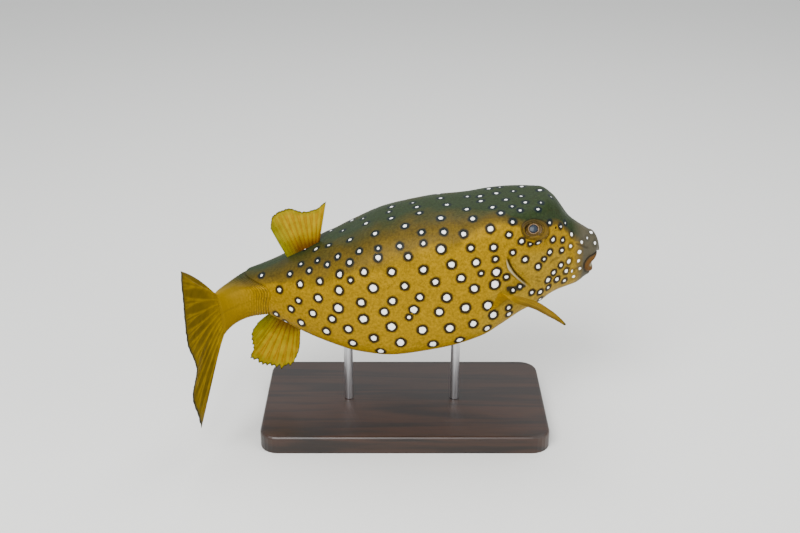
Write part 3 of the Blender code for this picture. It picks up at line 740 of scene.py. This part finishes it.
def add_mask(mesh, name, values, domain="POINT"):
    layer = mesh.attributes.new(name, "FLOAT", domain)
    layer.data.foreach_set("value", np.ascontiguousarray(values, dtype=np.float32))


def in_image(places):
    """Pixels across and down at which the camera sees each place, and each place's depth."""
    up = np.array((0.0, math.sin(CAMERA_ELEVATION), math.cos(CAMERA_ELEVATION)))
    away = places - CAMERA_PLACE
    depth = away @ CAMERA_LOOK
    across = IMAGE_SIZE[0] / 2 + FOCAL * away[..., 0] / depth
    down = IMAGE_SIZE[1] / 2 - FOCAL * (away @ up) / depth
    return across, down, depth


def spots_on_skin():
    """Middle and radius of every white spot, those that the camera sees first."""
    behind, girth = np.meshgrid(np.arange(-2.5, 222, 0.5), np.arange(0, 1, 0.0025), indexing="ij")
    behind, girth = behind.ravel(), girth.ravel()
    places = body_place(behind, girth)
    normals = body_normal(behind, girth)
    head = behind < 60
    places[head], _ = skin_relief(places[head], normals[head], behind[head])
    across, down, depth = in_image(places)
    facing = ((CAMERA_PLACE - places) * normals).sum(axis=1) > 0
    ahead = np.flatnonzero(facing & (behind < RIM_AT))
    middles, radii = [], []
    for spots, share in SPOTS:
        for x, y, half in spots:
            k = ahead[np.argmin(np.hypot(across[ahead] - x, down[ahead] - y))]
            middles.append(places[k])
            radii.append(share * half * depth[k] / FOCAL)
    for middle, radius in list(zip(middles, radii)):
        mirrored = middle * (1, -1, 1)
        if min(np.linalg.norm(mirrored - other) for other in middles) > MIRRORED_ROOM * MM:
            middles.append(mirrored)
            radii.append(radius)
    draw = np.random.default_rng(SEED)
    hidden = np.flatnonzero(~facing & (behind < RIM_AT - 4) & (behind > 4))
    for k in draw.permutation(hidden)[:6000]:
        room = blend(*HIDDEN_ROOM, float(smooth(20, 70, behind[k]))) * MM
        if min(np.linalg.norm(places[k] - other) for other in middles) > room:
            middles.append(places[k])
            radii.append(draw.uniform(*HIDDEN_RADIUS) * room)
    return np.array(middles), np.array(radii)


def add_spots(mesh):
    """Gives each face the middle and radius of its nearest spot, and each point its plate's border.

    A bone plate lies round each spot, so a border is where two spots are equally near.
    """
    middles, radii = spots_on_skin()
    tree = KDTree(len(middles))
    for k, middle in enumerate(middles):
        tree.insert(middle, k)
    tree.balance()
    pairs = [tree.find_n(vert.co, 2) for vert in mesh.vertices]
    add_mask(mesh, "seam", [(second[2] - first[2]) / MM for first, second in pairs])
    nearest = [tree.find(face.center)[1] for face in mesh.polygons]
    layer = mesh.attributes.new("spot_middle", "FLOAT_VECTOR", "FACE")
    layer.data.foreach_set("vector", middles[nearest].astype(np.float32).ravel())
    add_mask(mesh, "spot_radius", radii[nearest] / MM, "FACE")
    # Spots on the snout and chin have a faint ring
    ahead = in_world(14.0, 0.0, 0.0)[0] - middles[:, 0]
    add_mask(mesh, "spot_ring", blend(0.25, 0.95, smooth(-2 * MM, 6 * MM, ahead))[nearest], "FACE")


def fin_mesh(name, form, rays, thick, ragged):
    """A closed sheet about form(a, b): a runs over the rays and b from root to tip.

    One flat grid covers both faces. Its thickness ends at the borders, where the faces are merged.
    The tips are uneven by a share of the rays' length.
    """

    def place(a, b):
        uneven = np.sin(47 * a + 2 * np.sin(19 * a)) * np.sin(13 * a + 1) + 0.6 * np.sin(131 * a)
        return form(a, b * (1 - ragged * (0.8 + uneven) * smooth(0.5, 1.0, b)))

    bm = bmesh.new()
    bmesh.ops.create_grid(bm, x_segments=2 * rays * COLUMNS_PER_RAY, y_segments=FIN_ROWS, size=0.5)
    flat = np.array([vert.co[:2] for vert in bm.verts]) + 0.5
    turn, b = 2 * flat[:, 0], flat[:, 1]
    a = np.where(turn <= 1, turn, 2 - turn)
    face = np.where(turn <= 1, 1.0, -1.0)
    step = 0.002
    over = place(np.clip(a + step, 0, 1), b) - place(np.clip(a - step, 0, 1), b)
    out = place(a, np.clip(b + step, 0, 1)) - place(a, np.clip(b - step, 0, 1))
    normals = unit(np.cross(over, out))
    edge = np.sqrt(smooth(0, 0.02, np.minimum(a, 1 - a)) * smooth(0, 0.02, 1 - b))
    points = place(a, b) + normals * (face * edge * thick(a, b) / 2)[:, None]
    set_places(bm, points, {"across": a, "outward": b, "ray": ray_ridges(a, b, rays)})
    bmesh.ops.remove_doubles(bm, verts=bm.verts[:], dist=2e-6)
    bmesh.ops.recalc_face_normals(bm, faces=bm.faces[:])
    mesh = mesh_from(bm, name)
    mesh.shade_smooth()
    return mesh


def ray_ridges(a, b, rays):
    """1 on the middle of a ray and 0 between rays; each ray parts in two, and once more."""
    phase = np.abs((a * rays) % 1 - 0.5)
    first = np.abs(phase - 0.2 * smooth(RAY_FORKS[0], 1.0, b))
    second = np.abs(first - 0.09 * smooth(RAY_FORKS[1], 1.0, b))
    width = blend(0.26, 0.05, np.clip(b, 0, 1) ** 0.6)
    return hump(second, 0, width)


def fin_thickness(sizes, rays, leading):
    """A fin's thickness: thin skin, raised rays, a fleshy root and, on paired fins, a thick front."""

    def thick(a, b):
        ray = blend(sizes.ray, 0.45 * sizes.ray, b) * ray_ridges(a, b, rays)
        fleshy = ROOT_FLESH * (1 - b) ** 6
        front = ROOT_FLESH * hump(a, 0, 0.16) * (1 - 0.6 * b) * leading
        return np.maximum(sizes.membrane, ray) + fleshy + front

    return thick


def through(points, shares):
    """A smooth line through a few points, read at shares from 0 to 1."""
    knots = np.linspace(0, 1, len(points))
    rows = [(knot, *point) for knot, point in zip(knots, points)]
    return np.stack([eased(rows, shares, k) for k in (1, 2, 3)], axis=-1)


def median_fin(base, girth, tips, lean):
    """A fin of the middle line: rays from a row on the body to a row of tips, bowed sideways."""

    def place(a, b):
        behind = blend(*base, a)
        girths = np.full_like(behind, girth)
        foot = body_place(behind, girths) - body_normal(behind, girths) * ROOT_SINK * MM
        tip = through([in_world(far, 0.0, height) for far, height in tips], a)
        return foot + (tip - foot) * b[:, None] + np.outer(b * b * lean * MM, (0, 1, 0))

    return place


def caudal_fin(a, b):
    """The tail fin, a fan of rays from the end of the stem, folded once below its middle."""
    point, back, up, across, _, high = [np.array(part) for part in stem_frame(1.0)]
    behind = np.outer(CAUDAL_STANDOFF * a - CAUDAL_SINK, back)
    root = point + (behind + np.outer((high - 0.4) * (1 - 2 * a), up)) * MM
    spread = blend(*CAUDAL_SPREAD, a)
    turn = blend(*CAUDAL_TURN, a)
    straight = np.array(heading(0.0))
    way = np.outer(np.cos(turn), straight) + np.outer(-np.sin(turn), (0, 1, 0))
    way = way * np.cos(spread)[:, None] + np.outer(np.sin(spread), up)
    reach = CAUDAL_LENGTH + CAUDAL_SINK + CAUDAL_LOBES * np.abs(2 * a - 1) ** 1.5
    fold = eased(CAUDAL_FOLD, a) * b**2
    bow = CAUDAL_BOW * 4 * b * (1 - b) * np.maximum(0, 1 - a / 0.35) ** 2
    return root + (way * (reach * b)[:, None] + np.outer(fold, across) + np.outer(bow, up)) * MM


def pectoral_fin(side):
    """A fin from an upright root on the flank, twisted level and swept forward beside the head."""
    line = [in_world(behind, out * side, height) for behind, out, height in PECTORAL_LINE]
    upper, lower = [
        body_place(behind, on_side(girth, side))
        - body_normal(behind, on_side(girth, side)) * ROOT_SINK * MM
        for behind, girth in PECTORAL_ROOT
    ]
    middle = (upper + lower) / 2
    level = np.array((PECTORAL_FACE[0], -PECTORAL_FACE[1] * side, PECTORAL_FACE[2]))

    def place(a, b):
        twist = smooth(0, PECTORAL_TWIST_END, b)
        width = blend(*PECTORAL_WIDTH, b) * (1 - PECTORAL_TAPER * smooth(0.7, 1, b)) * MM
        across = np.outer(1 - twist, lower - upper) + np.outer(twist * width, level)
        reach = b * blend(1.0, 0.8, a * a)
        spine = through(line, reach) + np.outer(1 - reach, middle - line[0])
        return spine + across * (a - 0.4)[:, None]

    return place


def add_node(tree, kind, inputs, give=0, stops=(), **settings):
    """Adds a shader node, sets or links its inputs, and returns one of its outputs."""
    made = tree.nodes.new("ShaderNode" + kind)
    for name, value in settings.items():
        setattr(made, name, value)
    for name, value in inputs.items():
        socket = made.inputs[name]
        if isinstance(value, bpy.types.NodeSocket):
            tree.links.new(value, socket)
        elif socket.type == "RGBA":
            socket.default_value = (*value, 1)
        else:
            socket.default_value = value
    for k, (position, shade) in enumerate(stops):
        element = made.color_ramp.elements[k] if k < 2 else made.color_ramp.elements.new(position)
        element.position = position
        element.color = (*shade, 1)
    return made.outputs[give]


def new_finish(name):
    """A material with the tree and shader that its patterns go into."""
    material = bpy.data.materials.new(name)
    material.use_nodes = True
    return material, material.node_tree, material.node_tree.nodes["Principled BSDF"]


def blended(first, second, share):
    return tuple(blend(a, b, share) for a, b in zip(first, second))


def skin_finish(sizes):
    # Living boxfish skin over bone plates: satin and slightly wet, with white dots in dark rings
    material, tree, shader = new_finish("boxfish_skin")
    spot = add_node(tree, "TexCoord", {}, give="Object")
    masks = {
        name: add_node(tree, "Attribute", {}, give="Fac", attribute_name=name)
        for name in (*PAINT, "zone", "behind", "seam", "spot_radius", "spot_ring")
    }
    # Blotches of about 12 mm shift the bands of colour along the flank
    blotch = add_node(tree, "TexNoise", {"Vector": spot, "Scale": 1 / (12 * MM), "Detail": 3.0})
    shift = add_node(tree, "MapRange", {"Value": blotch, **NOISE, "To Min": -0.035, "To Max": 0.035})
    level = add_node(tree, "Math", {0: masks["zone"], 1: shift}, operation="ADD")
    bands = (
        (0.0, sizes.back),
        (1.0, sizes.belly),
        (0.09, blended(sizes.back, sizes.shoulder, 0.5)),
        (0.16, sizes.shoulder),
        (0.245, blended(sizes.shoulder, sizes.flank, 0.3)),
        (0.30, sizes.flank),
        (0.80, sizes.flank),
    )
    band = add_node(tree, "ValToRGB", {"Fac": level}, stops=bands)
    # Fine mottling, about 1.6 mm across
    grit = {"Vector": spot, "Scale": 1 / (1.6 * MM), "Detail": 4.0, "Roughness": 0.65}
    mottle = add_node(tree, "TexNoise", grit)
    darker = {"From Min": 0.35, "From Max": 0.65, "To Min": 0.68, "To Max": 1.14}
    mottle = add_node(tree, "MapRange", {"Value": mottle, **darker})
    band = add_node(tree, "Mix", {0: 1.0, 6: band, 7: mottle}, blend_type="MULTIPLY", **COLOURS)
    # Muzzle in front, end of the tail stem behind, and borders of the bone plates, a little darker
    fore = {"Value": masks["behind"], "From Min": 13.0, "From Max": 6.0}
    fore = add_node(tree, "MapRange", fore)
    aft = {"Value": masks["behind"], "From Min": RIM_AT + 8, "From Max": RIM_AT + STEM_LENGTH}
    aft = add_node(tree, "MapRange", aft)
    border = add_node(tree, "MapRange", {"Value": masks["seam"], "From Min": 0.9, "From Max": 0.1})
    faint = add_node(tree, "Math", {0: border, 1: 0.16}, operation="MULTIPLY")
    # Spots: distance from the spot's middle, with an edge made uneven by noise of 2 mm
    uneven = add_node(tree, "TexNoise", {"Vector": spot, "Scale": 1 / (2 * MM)}, give="Color")
    uneven = add_node(tree, "VectorMath", {0: uneven, 1: (0.5, 0.5, 0.5)}, operation="SUBTRACT")
    uneven = add_node(tree, "VectorMath", {0: uneven, "Scale": 1.3 * MM}, operation="SCALE")
    near = add_node(tree, "VectorMath", {0: spot, 1: uneven}, operation="ADD")
    middle = add_node(tree, "Attribute", {}, give="Vector", attribute_name="spot_middle")
    far = add_node(tree, "VectorMath", {0: near, 1: middle}, give="Value", operation="DISTANCE")
    past = add_node(tree, "Math", {0: far, 1: 1 / MM}, operation="MULTIPLY")
    past = add_node(tree, "Math", {0: past, 1: masks["spot_radius"]}, operation="SUBTRACT")
    halo = add_node(tree, "MapRange", {"Value": past, "From Min": 2.7, "From Max": 1.2}, **SOFT)
    halo = add_node(tree, "Math", {0: halo, 1: masks["spot_ring"]}, operation="MULTIPLY")
    teal = add_node(tree, "Math", {0: masks["blotch"], 1: 0.9}, operation="MULTIPLY")
    halo = add_node(tree, "Math", {0: halo, 1: teal}, operation="MAXIMUM")
    pale = add_node(tree, "MapRange", {"Value": past, "From Min": 0.3, "From Max": -0.25}, **SOFT)
    upper = add_node(tree, "MapRange", {"Value": masks["zone"], "From Min": 0.3, "From Max": 0.2})
    upper = add_node(tree, "Math", {0: upper, 1: masks["blotch"]}, operation="MAXIMUM")
    edge = add_node(tree, "Mix", {0: upper, 6: sizes.ring, 7: sizes.ring_upper}, **COLOURS)
    # Painted shade in the grooves of the stem's folds
    fold_shade = add_node(tree, "Math", {0: masks["fold"], 1: 0.75}, operation="MULTIPLY")
    lid = add_node(tree, "Math", {0: masks["lid"], 1: 0.7}, operation="MULTIPLY")
    painted = band
    # Near-black painted shade goes into slits, grooves, nostrils, the open mouth and round the eyes
    for mask, shade in (
        (fore, sizes.muzzle),
        (aft, sizes.stem),
        (faint, sizes.border),
        (fold_shade, sizes.fold_shade),
        (lid, sizes.lid),
        (halo, edge),
        (pale, sizes.core),
        (masks["lip"], sizes.lip),
        (masks["recess_shade"], sizes.recess_shade),
        (masks["cream"], sizes.cream),
    ):
        painted = add_node(tree, "Mix", {0: mask, 6: painted, 7: shade}, **COLOURS)
    tree.links.new(painted, shader.inputs["Base Color"])
    # Grain of the plates, 0.8 mm across, and sunk borders
    grain = add_node(tree, "TexNoise", {"Vector": spot, "Scale": 1 / (0.8 * MM), "Detail": 3.0})
    height = add_node(tree, "Math", {0: border, 1: -0.6, 2: grain}, operation="MULTIPLY_ADD")
    raised = {"Height": height, "Strength": 0.45, "Distance": 0.25 * MM}
    tree.links.new(add_node(tree, "Bump", raised, give="Normal"), shader.inputs["Normal"])
    rough = add_node(tree, "MapRange", {"Value": blotch, "To Min": 0.36, "To Max": 0.52})
    tree.links.new(rough, shader.inputs["Roughness"])
    shader.inputs["Specular IOR Level"].default_value = 0.07
    return material


def fin_finish(name, ray_shade, between, root, margin, edge_shade, aft):
    # Fin skin over bony rays: satin, with another tint between the rays and a dark torn edge
    material, tree, shader = new_finish(name)
    across, outward, ray = [
        add_node(tree, "Attribute", {}, give="Fac", attribute_name=key)
        for key in ("across", "outward", "ray")
    ]
    spot = add_node(tree, "TexCoord", {}, give="Object")
    blotch = add_node(tree, "TexNoise", {"Vector": spot, "Scale": 1 / (5 * MM), "Detail": 3.0})
    skin = add_node(tree, "Mix", {0: ray, 6: between, 7: ray_shade}, **COLOURS)
    near = add_node(tree, "MapRange", {"Value": outward, "From Min": 0.5, "From Max": 0.05}, **SOFT)
    skin = add_node(tree, "Mix", {0: near, 6: skin, 7: root}, **COLOURS)
    # Rear and tip margins: on the tail fin the margin colour is dark olive, which is painted shade at the
    # tips
    rear = add_node(tree, "MapRange", {"Value": across, "From Min": 0.6, "To Max": aft})
    tip = add_node(tree, "MapRange", {"Value": outward, "From Min": 0.85, "To Max": 0.7})
    border = add_node(tree, "Math", {0: rear, 1: tip}, operation="MAXIMUM")
    skin = add_node(tree, "Mix", {0: border, 6: skin, 7: margin}, **COLOURS)
    edge = {"Value": outward, "From Min": 0.955, "From Max": 0.985, "To Max": 0.85}
    edge = add_node(tree, "MapRange", edge)
    skin = add_node(tree, "Mix", {0: edge, 6: skin, 7: edge_shade}, **COLOURS)
    shade = add_node(tree, "MapRange", {"Value": blotch, **NOISE, "To Min": 0.8, "To Max": 1.15})
    skin = add_node(tree, "Mix", {0: 1.0, 6: skin, 7: shade}, blend_type="MULTIPLY", **COLOURS)
    tree.links.new(skin, shader.inputs["Base Color"])
    # Joints of the rays, 1 mm apart
    joints = add_node(tree, "TexNoise", {"Vector": spot, "Scale": 1 / (1.0 * MM), "Detail": 2.0})
    raised = {"Height": joints, "Strength": 0.3, "Distance": 0.15 * MM}
    tree.links.new(add_node(tree, "Bump", raised, give="Normal"), shader.inputs["Normal"])
    shader.inputs["Roughness"].default_value = 0.5
    shader.inputs["Specular IOR Level"].default_value = 0.06
    return material


def eye_finish(sizes):
    # A wet eye: clear smooth cornea over a dark pupil and a golden brown iris
    material, tree, shader = new_finish("wet_eye")
    turn = add_node(tree, "Attribute", {}, give="Fac", attribute_name="turn")
    spot = add_node(tree, "TexCoord", {}, give="Object")
    fleck = add_node(tree, "TexNoise", {"Vector": spot, "Scale": 1 / (0.9 * MM), "Detail": 4.0})
    shift = add_node(tree, "MapRange", {"Value": fleck, **NOISE, "To Min": -0.015, "To Max": 0.015})
    turn = add_node(tree, "Math", {0: turn, 1: shift}, operation="ADD")
    # Beyond the iris the ball is a darker iris brown: painted shade inside the lids' opening
    recess_shade = tuple(0.45 * part for part in sizes.iris)
    rings = (
        (0.0, sizes.pupil),
        (1.0, recess_shade),
        (0.17, sizes.pupil),
        (0.185, sizes.rim),
        (0.22, sizes.rim),
        (0.235, sizes.pale),
        (0.26, sizes.iris),
        (0.38, sizes.iris),
        (0.40, blended(sizes.pale, sizes.iris, 0.6)),
        (0.42, recess_shade),
    )
    shade = add_node(tree, "ValToRGB", {"Fac": turn}, stops=rings)
    tree.links.new(shade, shader.inputs["Base Color"])
    shader.inputs["Roughness"].default_value = 0.3
    shader.inputs["Specular IOR Level"].default_value = 0.1
    shader.inputs["Coat Weight"].default_value = 0.12
    shader.inputs["Coat Roughness"].default_value = 0.03
    return material


def walnut_finish(sizes):
    # Oiled walnut: dark brown with long fine grain and a low sheen
    material, tree, shader = new_finish("oiled_walnut")
    spot = add_node(tree, "TexCoord", {}, give="Object")
    stretched = add_node(tree, "Mapping", {"Vector": spot, "Scale": (0.06, 1.0, 1.0)})
    bent = {"Vector": stretched, "Scale": 1 / (14 * MM), "Detail": 3.0, "Distortion": 0.6}
    rings = add_node(tree, "Math", {0: add_node(tree, "TexNoise", bent), 1: 26.0}, operation="MULTIPLY")
    rings = add_node(tree, "Math", {0: rings}, operation="SINE")
    pores = add_node(tree, "TexNoise", {"Vector": stretched, "Scale": 1 / (0.9 * MM), "Detail": 2.0})
    faint = {"From Min": -1.0, "From Max": 1.0, "To Min": 0.15, "To Max": 0.6}
    lines = add_node(tree, "MapRange", {"Value": rings, **faint})
    lines = add_node(tree, "Math", {0: pores, 1: 0.5, 2: lines}, operation="MULTIPLY_ADD")
    tones = ((0.35, sizes.wood), (0.85, sizes.grain))
    shade = add_node(tree, "ValToRGB", {"Fac": lines}, stops=tones)
    tree.links.new(shade, shader.inputs["Base Color"])
    raised = {"Height": pores, "Strength": 0.15, "Distance": 0.1 * MM}
    tree.links.new(add_node(tree, "Bump", raised, give="Normal"), shader.inputs["Normal"])
    shader.inputs["Roughness"].default_value = 0.42
    return material


def steel_finish(sizes):
    # Stainless steel brushed along the rod: bright, with fine lengthwise lines
    material, tree, shader = new_finish("brushed_steel")
    spot = add_node(tree, "TexCoord", {}, give="Object")
    drawn = add_node(tree, "Mapping", {"Vector": spot, "Scale": (1.0, 1.0, 0.03)})
    lines = add_node(tree, "TexNoise", {"Vector": drawn, "Scale": 1 / (0.35 * MM), "Detail": 2.0})
    rough = add_node(tree, "MapRange", {"Value": lines, "To Min": 0.22, "To Max": 0.42})
    tree.links.new(rough, shader.inputs["Roughness"])
    raised = {"Height": lines, "Strength": 0.12, "Distance": 0.05 * MM}
    tree.links.new(add_node(tree, "Bump", raised, give="Normal"), shader.inputs["Normal"])
    shader.inputs["Base Color"].default_value = (*sizes.steel, 1)
    shader.inputs["Metallic"].default_value = 1.0
    return material


def floor_finish(shade):
    # Matt paper backdrop: no gloss and no grain that shows
    material, _, shader = new_finish("matt_paper")
    shader.inputs["Base Color"].default_value = (*shade, 1)
    shader.inputs["Roughness"].default_value = 0.9
    return material


class BOXFISH_OT_skin(bpy.types.Operator):
    """Make the one skin of head, torso, lips and tail stem"""

    bl_idname = "boxfish.skin"
    bl_label = "Skin"

    def execute(self, context):
        sizes = context.scene.boxfish_skin
        bm = skin_sheet(sizes.around)
        set_places(bm, *skin_places(bm))
        bmesh.ops.remove_doubles(bm, verts=bm.verts[:], dist=1e-6)
        bmesh.ops.recalc_face_normals(bm, faces=bm.faces[:])
        mesh = mesh_from(bm, "skin")
        mesh.shade_smooth()
        add_spots(mesh)
        flesh = ("head", "torso", "tail_stem", "lip_upper", "lip_lower")
        add_piece("skin", mesh, skin_finish(sizes), "skin", *flesh)
        return {"FINISHED"}


class BOXFISH_OT_fins(bpy.types.Operator):
    """Make the five fins with branched rays"""

    bl_idname = "boxfish.fins"
    bl_label = "Fins"

    def execute(self, context):
        sizes = context.scene.boxfish_fins
        yellow = (sizes.orange, sizes.yellow, sizes.root, sizes.green, sizes.edge)
        yellow = fin_finish("fin_skin_yellow", *yellow, aft=1.0)
        # The tail fin's margin colour is its dark band colour, which is painted shade at the tips
        tail = (sizes.tail, sizes.tail_band_and_tip_shade, sizes.tail, sizes.tail_band_and_tip_shade, sizes.tail_edge)
        tail = fin_finish("fin_skin_olive", *tail, aft=0.0)
        paddle = (sizes.paddle, sizes.paddle_dark, sizes.root_yellow, sizes.paddle, sizes.edge)
        paddle = fin_finish("fin_skin_brown", *paddle, aft=0.0)
        dorsal = median_fin(DORSAL_BASE, 0.0, DORSAL_TIPS, FIN_LEAN)
        anal = median_fin(ANAL_BASE, 0.5, ANAL_TIPS, -FIN_LEAN)
        for name, form, rays, finish, ragged, leading in (
            ("caudal_fin", caudal_fin, 10, tail, 0.006, 0),
            ("dorsal_fin", dorsal, 11, yellow, 0.008, 0),
            ("anal_fin", anal, 11, yellow, 0.028, 0),
            ("pectoral_fin_right", pectoral_fin(-1), 10, paddle, 0.01, 1),
            ("pectoral_fin_left", pectoral_fin(1), 10, paddle, 0.01, 1),
        ):
            mesh = fin_mesh(name, form, rays, fin_thickness(sizes, rays, leading), ragged)
            add_piece(name + "_skin", mesh, finish, "fin", name)
        return {"FINISHED"}


class BOXFISH_OT_eyes(bpy.types.Operator):
    """Make the two eyes"""

    bl_idname = "boxfish.eyes"
    bl_label = "Eyes"

    def execute(self, context):
        finish = eye_finish(context.scene.boxfish_eyes)
        for name, side in (("eye_right", -1), ("eye_left", 1)):
            middle, radius, look = eye_frame(side)
            bm = bmesh.new()
            bmesh.ops.create_uvsphere(bm, u_segments=96, v_segments=64, radius=radius)
            turn = bm.verts.layers.float.new("turn")
            for vert in bm.verts:
                vert[turn] = vert.co.angle(Vector((0, 0, 1))) / (math.pi / 2)
            spin = look.to_track_quat("Z", "Y").to_matrix()
            bmesh.ops.rotate(bm, matrix=spin, verts=bm.verts[:])
            bmesh.ops.translate(bm, vec=middle, verts=bm.verts[:])
            mesh = mesh_from(bm, name)
            mesh.shade_smooth()
            add_piece(name + "_ball", mesh, finish, "eye", name)
        return {"FINISHED"}


class BOXFISH_OT_stand(bpy.types.Operator):
    """Give the stand its wood and steel"""

    bl_idname = "boxfish.stand"
    bl_label = "Stand"

    def execute(self, context):
        sizes = context.scene.boxfish_stand
        finishes = {"stand_base": walnut_finish(sizes)}
        finishes["stand_rod_front"] = finishes["stand_rod_rear"] = steel_finish(sizes)
        for name, finish in finishes.items():
            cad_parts[name].material_slots[0].material = finish
        return {"FINISHED"}


class BOXFISH_OT_stage(bpy.types.Operator):
    """Lay the floor, set the lights and aim the camera"""

    bl_idname = "boxfish.stage"
    bl_label = "Stage"

    def execute(self, context):
        sizes = context.scene.boxfish_stage
        bm = bmesh.new()
        bmesh.ops.create_grid(bm, x_segments=2, y_segments=2, size=4.0)
        floor = bpy.data.objects.new("floor", mesh_from(bm, "floor"))
        floor.data.materials.append(floor_finish(sizes.floor))
        context.scene.collection.objects.link(floor)
        world = bpy.data.worlds.new("studio")
        world.use_nodes = True
        background = world.node_tree.nodes["Background"]
        background.inputs["Color"].default_value = (*sizes.sky, 1)
        background.inputs["Strength"].default_value = 1.05
        context.scene.world = world
        for name, place, size, energy in (
            ("key", (-0.35, -0.75, 0.95), 0.7, sizes.key),
            ("fill", (0.95, -0.55, 0.45), 0.9, sizes.fill),
            ("top", (0.1, 0.35, 1.1), 0.8, sizes.top),
        ):
            light = bpy.data.lights.new(name, "AREA")
            light.size = size
            light.energy = energy
            lamp = bpy.data.objects.new(name, light)
            lamp.location = place
            aim = CAMERA_TARGET - lamp.location
            lamp.rotation_euler = aim.to_track_quat("-Z", "Y").to_euler()
            context.scene.collection.objects.link(lamp)
        lens = bpy.data.cameras.new("camera")
        lens.lens = LENS
        lens.sensor_width = SENSOR
        lens.clip_start = 0.01
        camera = bpy.data.objects.new("camera", lens)
        camera.location = CAMERA_PLACE
        camera.rotation_euler = (math.pi / 2 - CAMERA_ELEVATION, 0.0, 0.0)
        context.scene.collection.objects.link(camera)
        context.scene.camera = camera
        return {"FINISHED"}


OPERATORS = (BOXFISH_OT_skin, BOXFISH_OT_fins, BOXFISH_OT_eyes, BOXFISH_OT_stand, BOXFISH_OT_stage)
GROUPS = {
    "boxfish_skin": BoxfishSkin,
    "boxfish_fins": BoxfishFins,
    "boxfish_eyes": BoxfishEyes,
    "boxfish_stand": BoxfishStand,
    "boxfish_stage": BoxfishStage,
}


class BOXFISH_PT_model(bpy.types.Panel):
    """Buttons and settings for each part of the model"""

    bl_label = "Yellow Boxfish"
    bl_space_type = "VIEW_3D"
    bl_region_type = "UI"
    bl_category = "Boxfish"

    def draw(self, context):
        for operator, group in zip(OPERATORS, GROUPS):
            box = self.layout.box()
            box.operator(operator.bl_idname)
            sizes = getattr(context.scene, group)
            for name in sizes.__annotations__:
                box.prop(sizes, name)


def register():
    for made in (*GROUPS.values(), *OPERATORS, BOXFISH_PT_model):
        bpy.utils.register_class(made)
    for name, group in GROUPS.items():
        setattr(bpy.types.Scene, name, PointerProperty(type=group))


def unregister():
    for name in GROUPS:
        delattr(bpy.types.Scene, name)
    for made in (BOXFISH_PT_model, *OPERATORS, *GROUPS.values()):
        bpy.utils.unregister_class(made)


def main():
    register()
    bpy.ops.boxfish.skin()
    bpy.ops.boxfish.fins()
    bpy.ops.boxfish.eyes()
    bpy.ops.boxfish.stand()
    bpy.ops.boxfish.stage()


if __name__ == "__main__":
    main()
